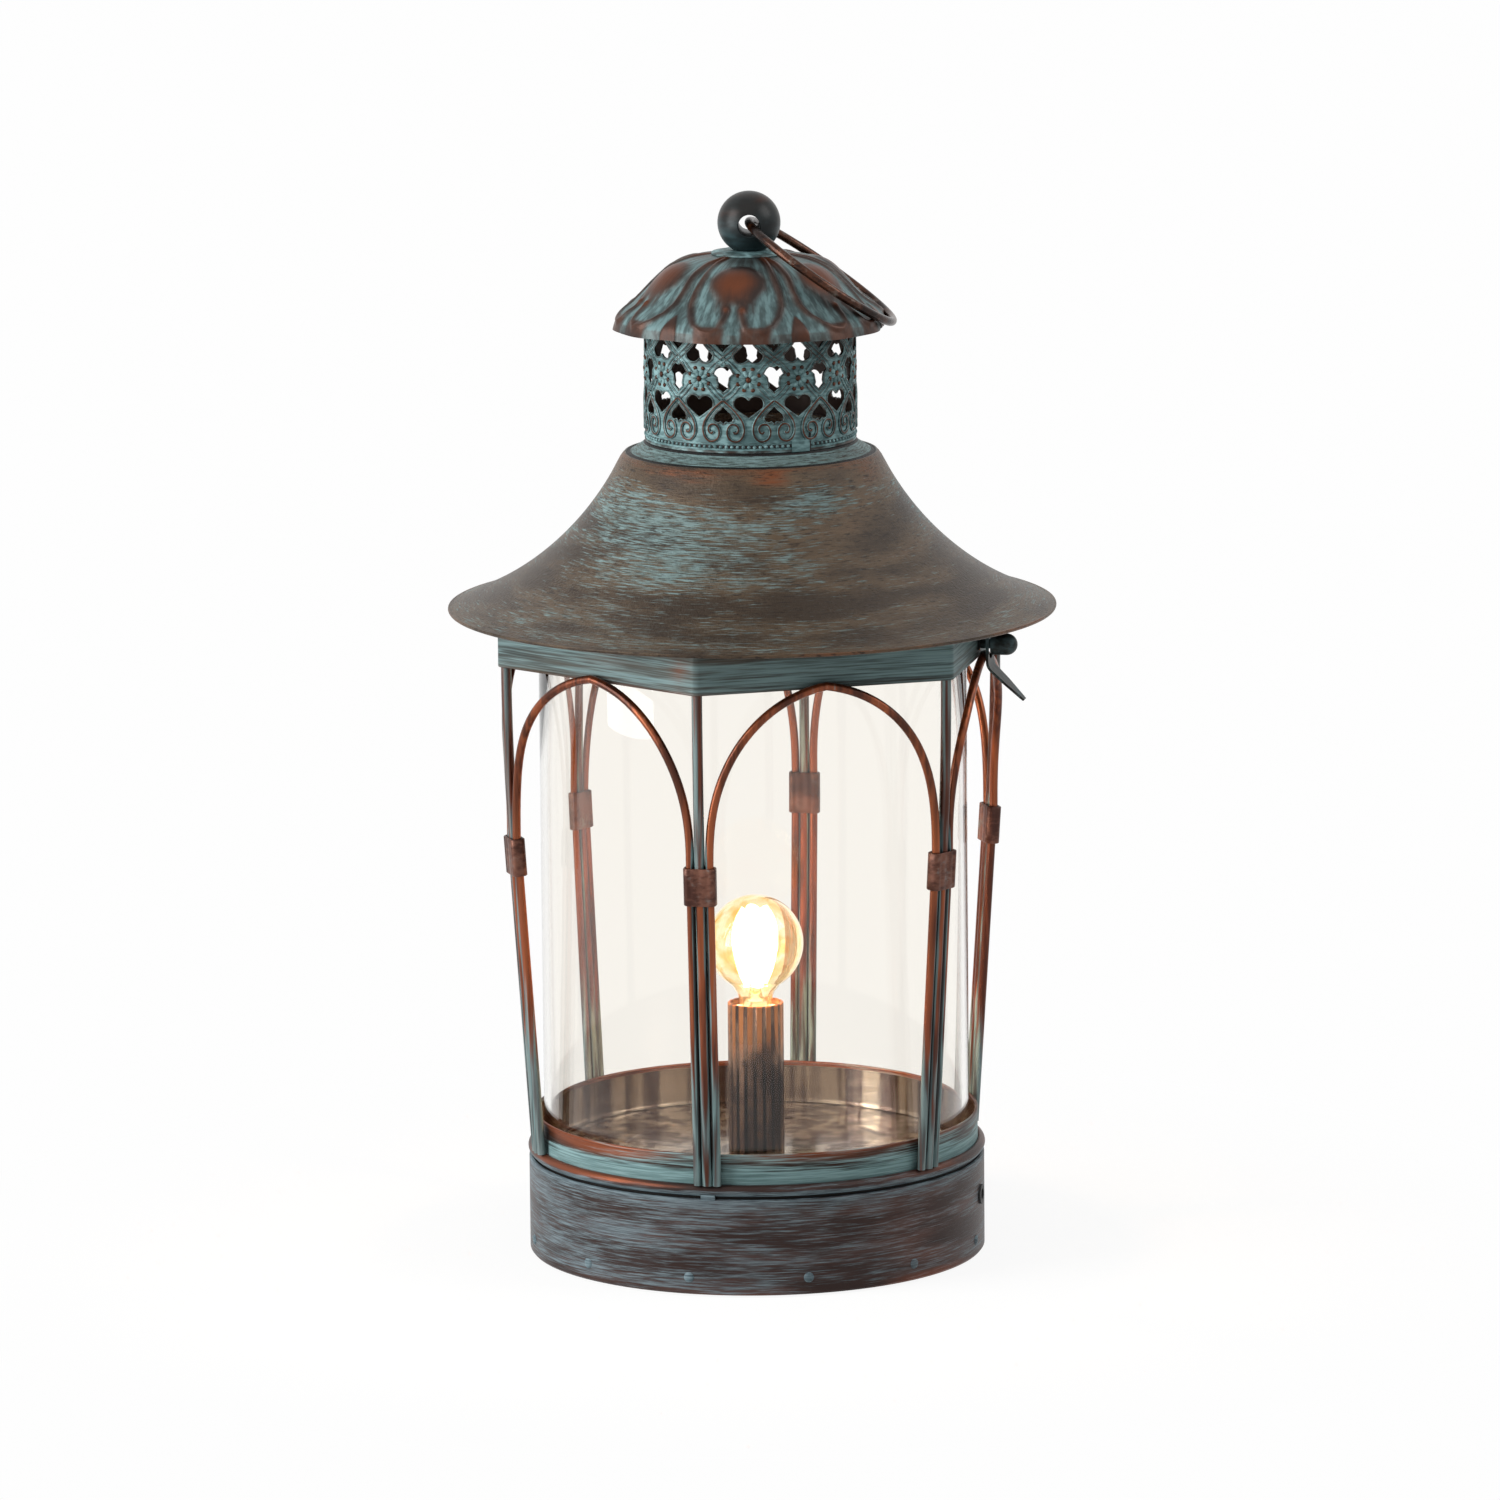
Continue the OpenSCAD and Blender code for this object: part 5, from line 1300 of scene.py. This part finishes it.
def candleSleeve():
    size = {"r": 13.0, "inR": 11.8, "low": 46.7, "top": 116.0, "flutes": 18, "fluteR": 1.1, "fluteMid": 13.4,
            "fluteShade": -1.1, "hollowDeep": 0.4}
    count, pitch = 360, 2 * math.pi / size["flutes"]
    outer, hollow = [], []
    for j in range(count):
        off = (2 * math.pi * j / count + pitch / 2) % pitch - pitch / 2
        side = size["fluteMid"] * math.sin(off)
        r = size["r"]
        if abs(side) < size["fluteR"]:
            r = min(r, size["fluteMid"] * math.cos(off) - math.sqrt(size["fluteR"] ** 2 - side ** 2))
        outer.append(r)
        # painted shade darkens the flute hollows
        hollow.append(size["fluteShade"] * min(1.0, (size["r"] - r) / size["hollowDeep"]))
    # (height, inset, wear): copper towards the bulb, partly rubbed and partly a painted warm glow of its light
    levels = [(size["low"], 0.0, 0.0), (70, 0.0, 0.0), (88, 0.0, 0.2), (100, 0.0, 0.5),
              (size["top"] - 0.4, 0.0, 0.8), (size["top"], 0.35, 0.8)]
    points, wearAndShade = [], []
    for z, inset, worn in levels:
        for j in range(count):
            points.append(polar(outer[j] - inset, 360 * j / count, z))
            wearAndShade.append(worn + hollow[j] * (1 - 0.5 * worn))
    for z in (size["top"], size["low"]):
        for j in range(count):
            points.append(polar(size["inR"], 360 * j / count, z))
            wearAndShade.append(0.3)
    faces = gridFaces(len(levels) + 2, count, True, True)
    mesh = newMesh("candleSleeveSkin", points, faceOutwards(points, faces), wearAndShade=wearAndShade, creaseDeg=30)
    return placePiece("candleSleeveSkin", mesh, "frame", sleevePatina, ["candle_sleeve"])


def bulb():
    size = {"mid": 144.0, "r": 22.5, "wall": 0.8, "neckLow": 113.6, "neckR": 7.25, "meets": 6.2}

    def outline(inset, steps):
        # the neck, and the globe from where the neck's curve meets it
        r, neckR = size["r"] - inset, size["neckR"] - inset
        rows = [(neckR + wider, size["neckLow"] + up) for wider, up in ((0, 0), (0.3, 4), (1.6, 7.2), (4.2, 11.0))]
        low = -math.degrees(math.acos((neckR + size["meets"]) / r))
        for s in range(steps + 1):
            a = math.radians(lerp(low, 90, s / steps))
            rows.append((r * math.cos(a) if s < steps else 0.0, size["mid"] + r * math.sin(a)))
        return rows

    # up the outside and down the inside, with a fan of faces at each top
    segments, steps = 96, 40
    rings = outline(0, steps)[:-1] + outline(size["wall"], steps)[-2::-1]
    points = [polar(r, 360 * j / segments, z) for r, z in rings for j in range(segments)]
    inside = len(points) // 2
    quads = gridFaces(len(rings), segments, True, True)
    faces = quads[:inside - segments] + quads[inside:]
    topOut, topIn = len(points), len(points) + 1
    points += [(0, 0, size["mid"] + size["r"]), (0, 0, size["mid"] + size["r"] - size["wall"])]
    for j in range(segments):
        k = (j + 1) % segments
        faces.append((inside - segments + j, inside - segments + k, topOut))
        faces.append((inside + k, inside + j, topIn))
    mesh = newMesh("bulbGlassGlobe", points, faceOutwards(points, faces), creaseDeg=50)
    return placePiece("bulbGlassGlobe", mesh, "bulb", bulbGlass, ["bulb_glass"])


candleSleeve()
bulb()


def filaments():
    # lit filaments of a clear lamp, on a glass stem
    size = {"count": 4, "first": 30, "r": 3.3}
    points, faces, _ = revolve([(0.0, 113.7), (6.0, 113.7), (6.0, 115.0), (3.6, 118.0), (2.4, 124.0), (2.0, 127.0),
                                (0.0, 127.0)], 24)
    stem = newMesh("bulbStem", points, faces, creaseDeg=40)
    placePiece("bulbStem", stem, "bulb", bulbGlass, ["bulb_filament"])
    # each filament bows outwards between its two ends: (distance from the axis, height)
    bow = smoothPath([(2.6, 125.5), (5.4, 132.0), (7.6, 141.0), (7.7, 149.0), (6.2, 155.0), (3.4, 159.5)], 5)
    turns = [size["first"] + 360 / size["count"] * k for k in range(size["count"])]
    paths = [([polar(r, turn, z) for r, z in bow], False) for turn in turns]
    mesh = wireMesh("litFilamentRods", paths, size["r"], 16, litFilament)
    rods = placePiece("litFilamentRods", mesh, "bulb", litFilament)
    rods.visible_shadow = False  # they shine, so the lamp at their middle lights past them


filaments()
print("sleeve and bulb made")


# Finishes of the pieces that stay as the frame gives them.

finishes = {
    "base_plate": zincSteel, "base_felt": woolFelt, "cable_grommet": blackRubber, "hinge_leaf_ring": hingePatina,
    "hinge_leaf_roof": hingePatina, "hinge_pin": zincSteel, "latch_knob": hingePatina, "hasp": hingePatina,
    "hasp_pin": zincSteel, "hasp_bracket": hingePatina, "ball_screw": zincSteel, "lampholder": glazedCeramic,
    "holder_contact": holderBrass, "holder_nipple": holderBrass, "holder_nut": holderBrass, "bulb_screw_cap": zincSteel,
}
for name, material in finishes.items():
    nodes[name].data.materials.clear()
    nodes[name].data.materials.append(material)


# Camera, lights, floor.

photoTurn = 12.5  # the lamp stands turned this many degrees in the photograph


def cameraFrame():
    # placed by fitting the photograph's ellipses; yaw, down and roll in radians, focal length in frame widths
    size = {"place": (-14.0, -4433.0, 1048.0), "yaw": 0.0028, "down": 0.1814, "roll": -0.0086,
            "focal": 9731.0 / 1500, "sensor": 36.0}
    yaw, down, roll = size["yaw"], size["down"], size["roll"]
    ahead = Vector((math.sin(yaw) * math.cos(down), math.cos(yaw) * math.cos(down), -math.sin(down)))
    right = Vector((math.cos(yaw), -math.sin(yaw), 0))
    up = right.cross(ahead)
    right, up = math.cos(roll) * right + math.sin(roll) * up, -math.sin(roll) * right + math.cos(roll) * up
    turn = Matrix.Rotation(math.radians(photoTurn), 3, "Z")
    columns = [turn @ right, turn @ up, turn @ -ahead]
    camera = bpy.data.cameras.new("photoCamera")
    camera.sensor_width = size["sensor"]
    camera.lens = size["sensor"] * size["focal"]
    camera.clip_end = 30
    holder = bpy.data.objects.new("photoCamera", camera)
    bpy.context.scene.collection.objects.link(holder)
    holder.matrix_world = Matrix.Translation(turn @ Vector(size["place"]) * mm) @ Matrix(columns).transposed().to_4x4()
    bpy.context.scene.camera = holder


cameraFrame()


def areaLamp(name, azimuth, height, distance, width, tall, power, colour="#ffffff"):
    # azimuth in degrees from the camera's own, positive to its right
    turn = math.radians(-90 + photoTurn + azimuth)
    light = bpy.data.lights.new(name, "AREA")
    light.shape = "RECTANGLE"
    light.size, light.size_y = width, tall
    light.energy = power
    light.color = hexColour(colour)[:3]
    holder = bpy.data.objects.new(name, light)
    bpy.context.scene.collection.objects.link(holder)
    holder.location = (distance * math.cos(turn), distance * math.sin(turn), height)
    lampMiddle = Vector((0, 0, 0.26))
    holder.rotation_euler = (lampMiddle - holder.location).to_track_quat("-Z", "Y").to_euler()


def bulbLamp():
    light = bpy.data.lights.new("litBulb", "POINT")
    light.energy = 0.7  # watts of light, warm and without a highlight of its own
    light.color = hexColour("#ffb877")[:3]
    light.shadow_soft_size = 0.014
    light.specular_factor = 0.0
    holder = bpy.data.objects.new("litBulb", light)
    bpy.context.scene.collection.objects.link(holder)
    holder.location = (0, 0, 0.146)
    # the filaments are what is seen; the lamp only lights
    holder.visible_camera = holder.visible_glossy = holder.visible_transmission = False


bulbLamp()
areaLamp("leftSoftbox", -68, 0.75, 1.5, 0.9, 1.5, 30.0)
areaLamp("rightSoftbox", 78, 1.35, 1.3, 0.9, 0.9, 10.0)
areaLamp("topSoftbox", 0, 1.9, 0.7, 1.2, 1.2, 3.0)


def studio():
    # a pale grey room for the light, plain white wherever it is seen
    world = bpy.data.worlds.new("studio")
    bpy.context.scene.world = world
    world.use_nodes = True
    tree = world.node_tree
    tree.nodes.clear()
    seen = seenRay(tree)
    plain = addNode(tree, "ShaderNodeBackground", {"Color": hexColour("#d9dadc"), "Strength": 0.28})
    white = addNode(tree, "ShaderNodeBackground", {"Color": hexColour("#ffffff"), "Strength": 1.0})
    both = addNode(tree, "ShaderNodeMixShader", {0: seen, 1: plain.outputs[0], 2: white.outputs[0]})
    addNode(tree, "ShaderNodeOutputWorld", {"Surface": both.outputs[0]})


studio()


def floorPiece():
    # paper for the light; where it is seen, white with a faint shade under the lamp
    size = {"r": 6000, "sides": 36, "near": 0.16, "far": 0.4}
    material, tree = newMaterial("paleStudioFloor")
    seen = seenRay(tree)
    paper = addNode(tree, "ShaderNodeBsdfDiffuse", {"Color": hexColour("#dededd")})
    place = addNode(tree, "ShaderNodeTexCoord").outputs["Object"]
    away = addNode(tree, "ShaderNodeVectorMath", {0: place}, operation="LENGTH").outputs["Value"]
    far = addNode(tree, "ShaderNodeMapRange", {0: away, 1: size["near"], 2: size["far"]},
                  interpolation_type="SMOOTHSTEP").outputs[0]
    faint = addNode(tree, "ShaderNodeBsdfDiffuse", {"Color": (0.13, 0.13, 0.127, 1)})
    glow = addNode(tree, "ShaderNodeEmission", {"Color": hexColour("#ffffff"), "Strength": 0.89})
    near = addNode(tree, "ShaderNodeAddShader", {0: faint.outputs[0], 1: glow.outputs[0]})
    white = addNode(tree, "ShaderNodeEmission", {"Color": hexColour("#ffffff"), "Strength": 0.99})
    lit = addNode(tree, "ShaderNodeMixShader", {0: far, 1: near.outputs[0], 2: white.outputs[0]})
    both = addNode(tree, "ShaderNodeMixShader", {0: seen, 1: paper.outputs[0], 2: lit.outputs[0]})
    addNode(tree, "ShaderNodeOutputMaterial", {"Surface": both.outputs[0]})
    rim = [polar(size["r"], 360 / size["sides"] * k, 0) for k in range(size["sides"])]
    mesh = newMesh("studioFloor", rim, [tuple(range(size["sides"]))])
    mesh.materials.append(material)
    floor = bpy.data.objects.new("studioFloor", mesh)
    bpy.context.scene.collection.objects.link(floor)


floorPiece()
bpy.context.scene.view_settings.view_transform = "Standard"
print("camera, lights and floor made")
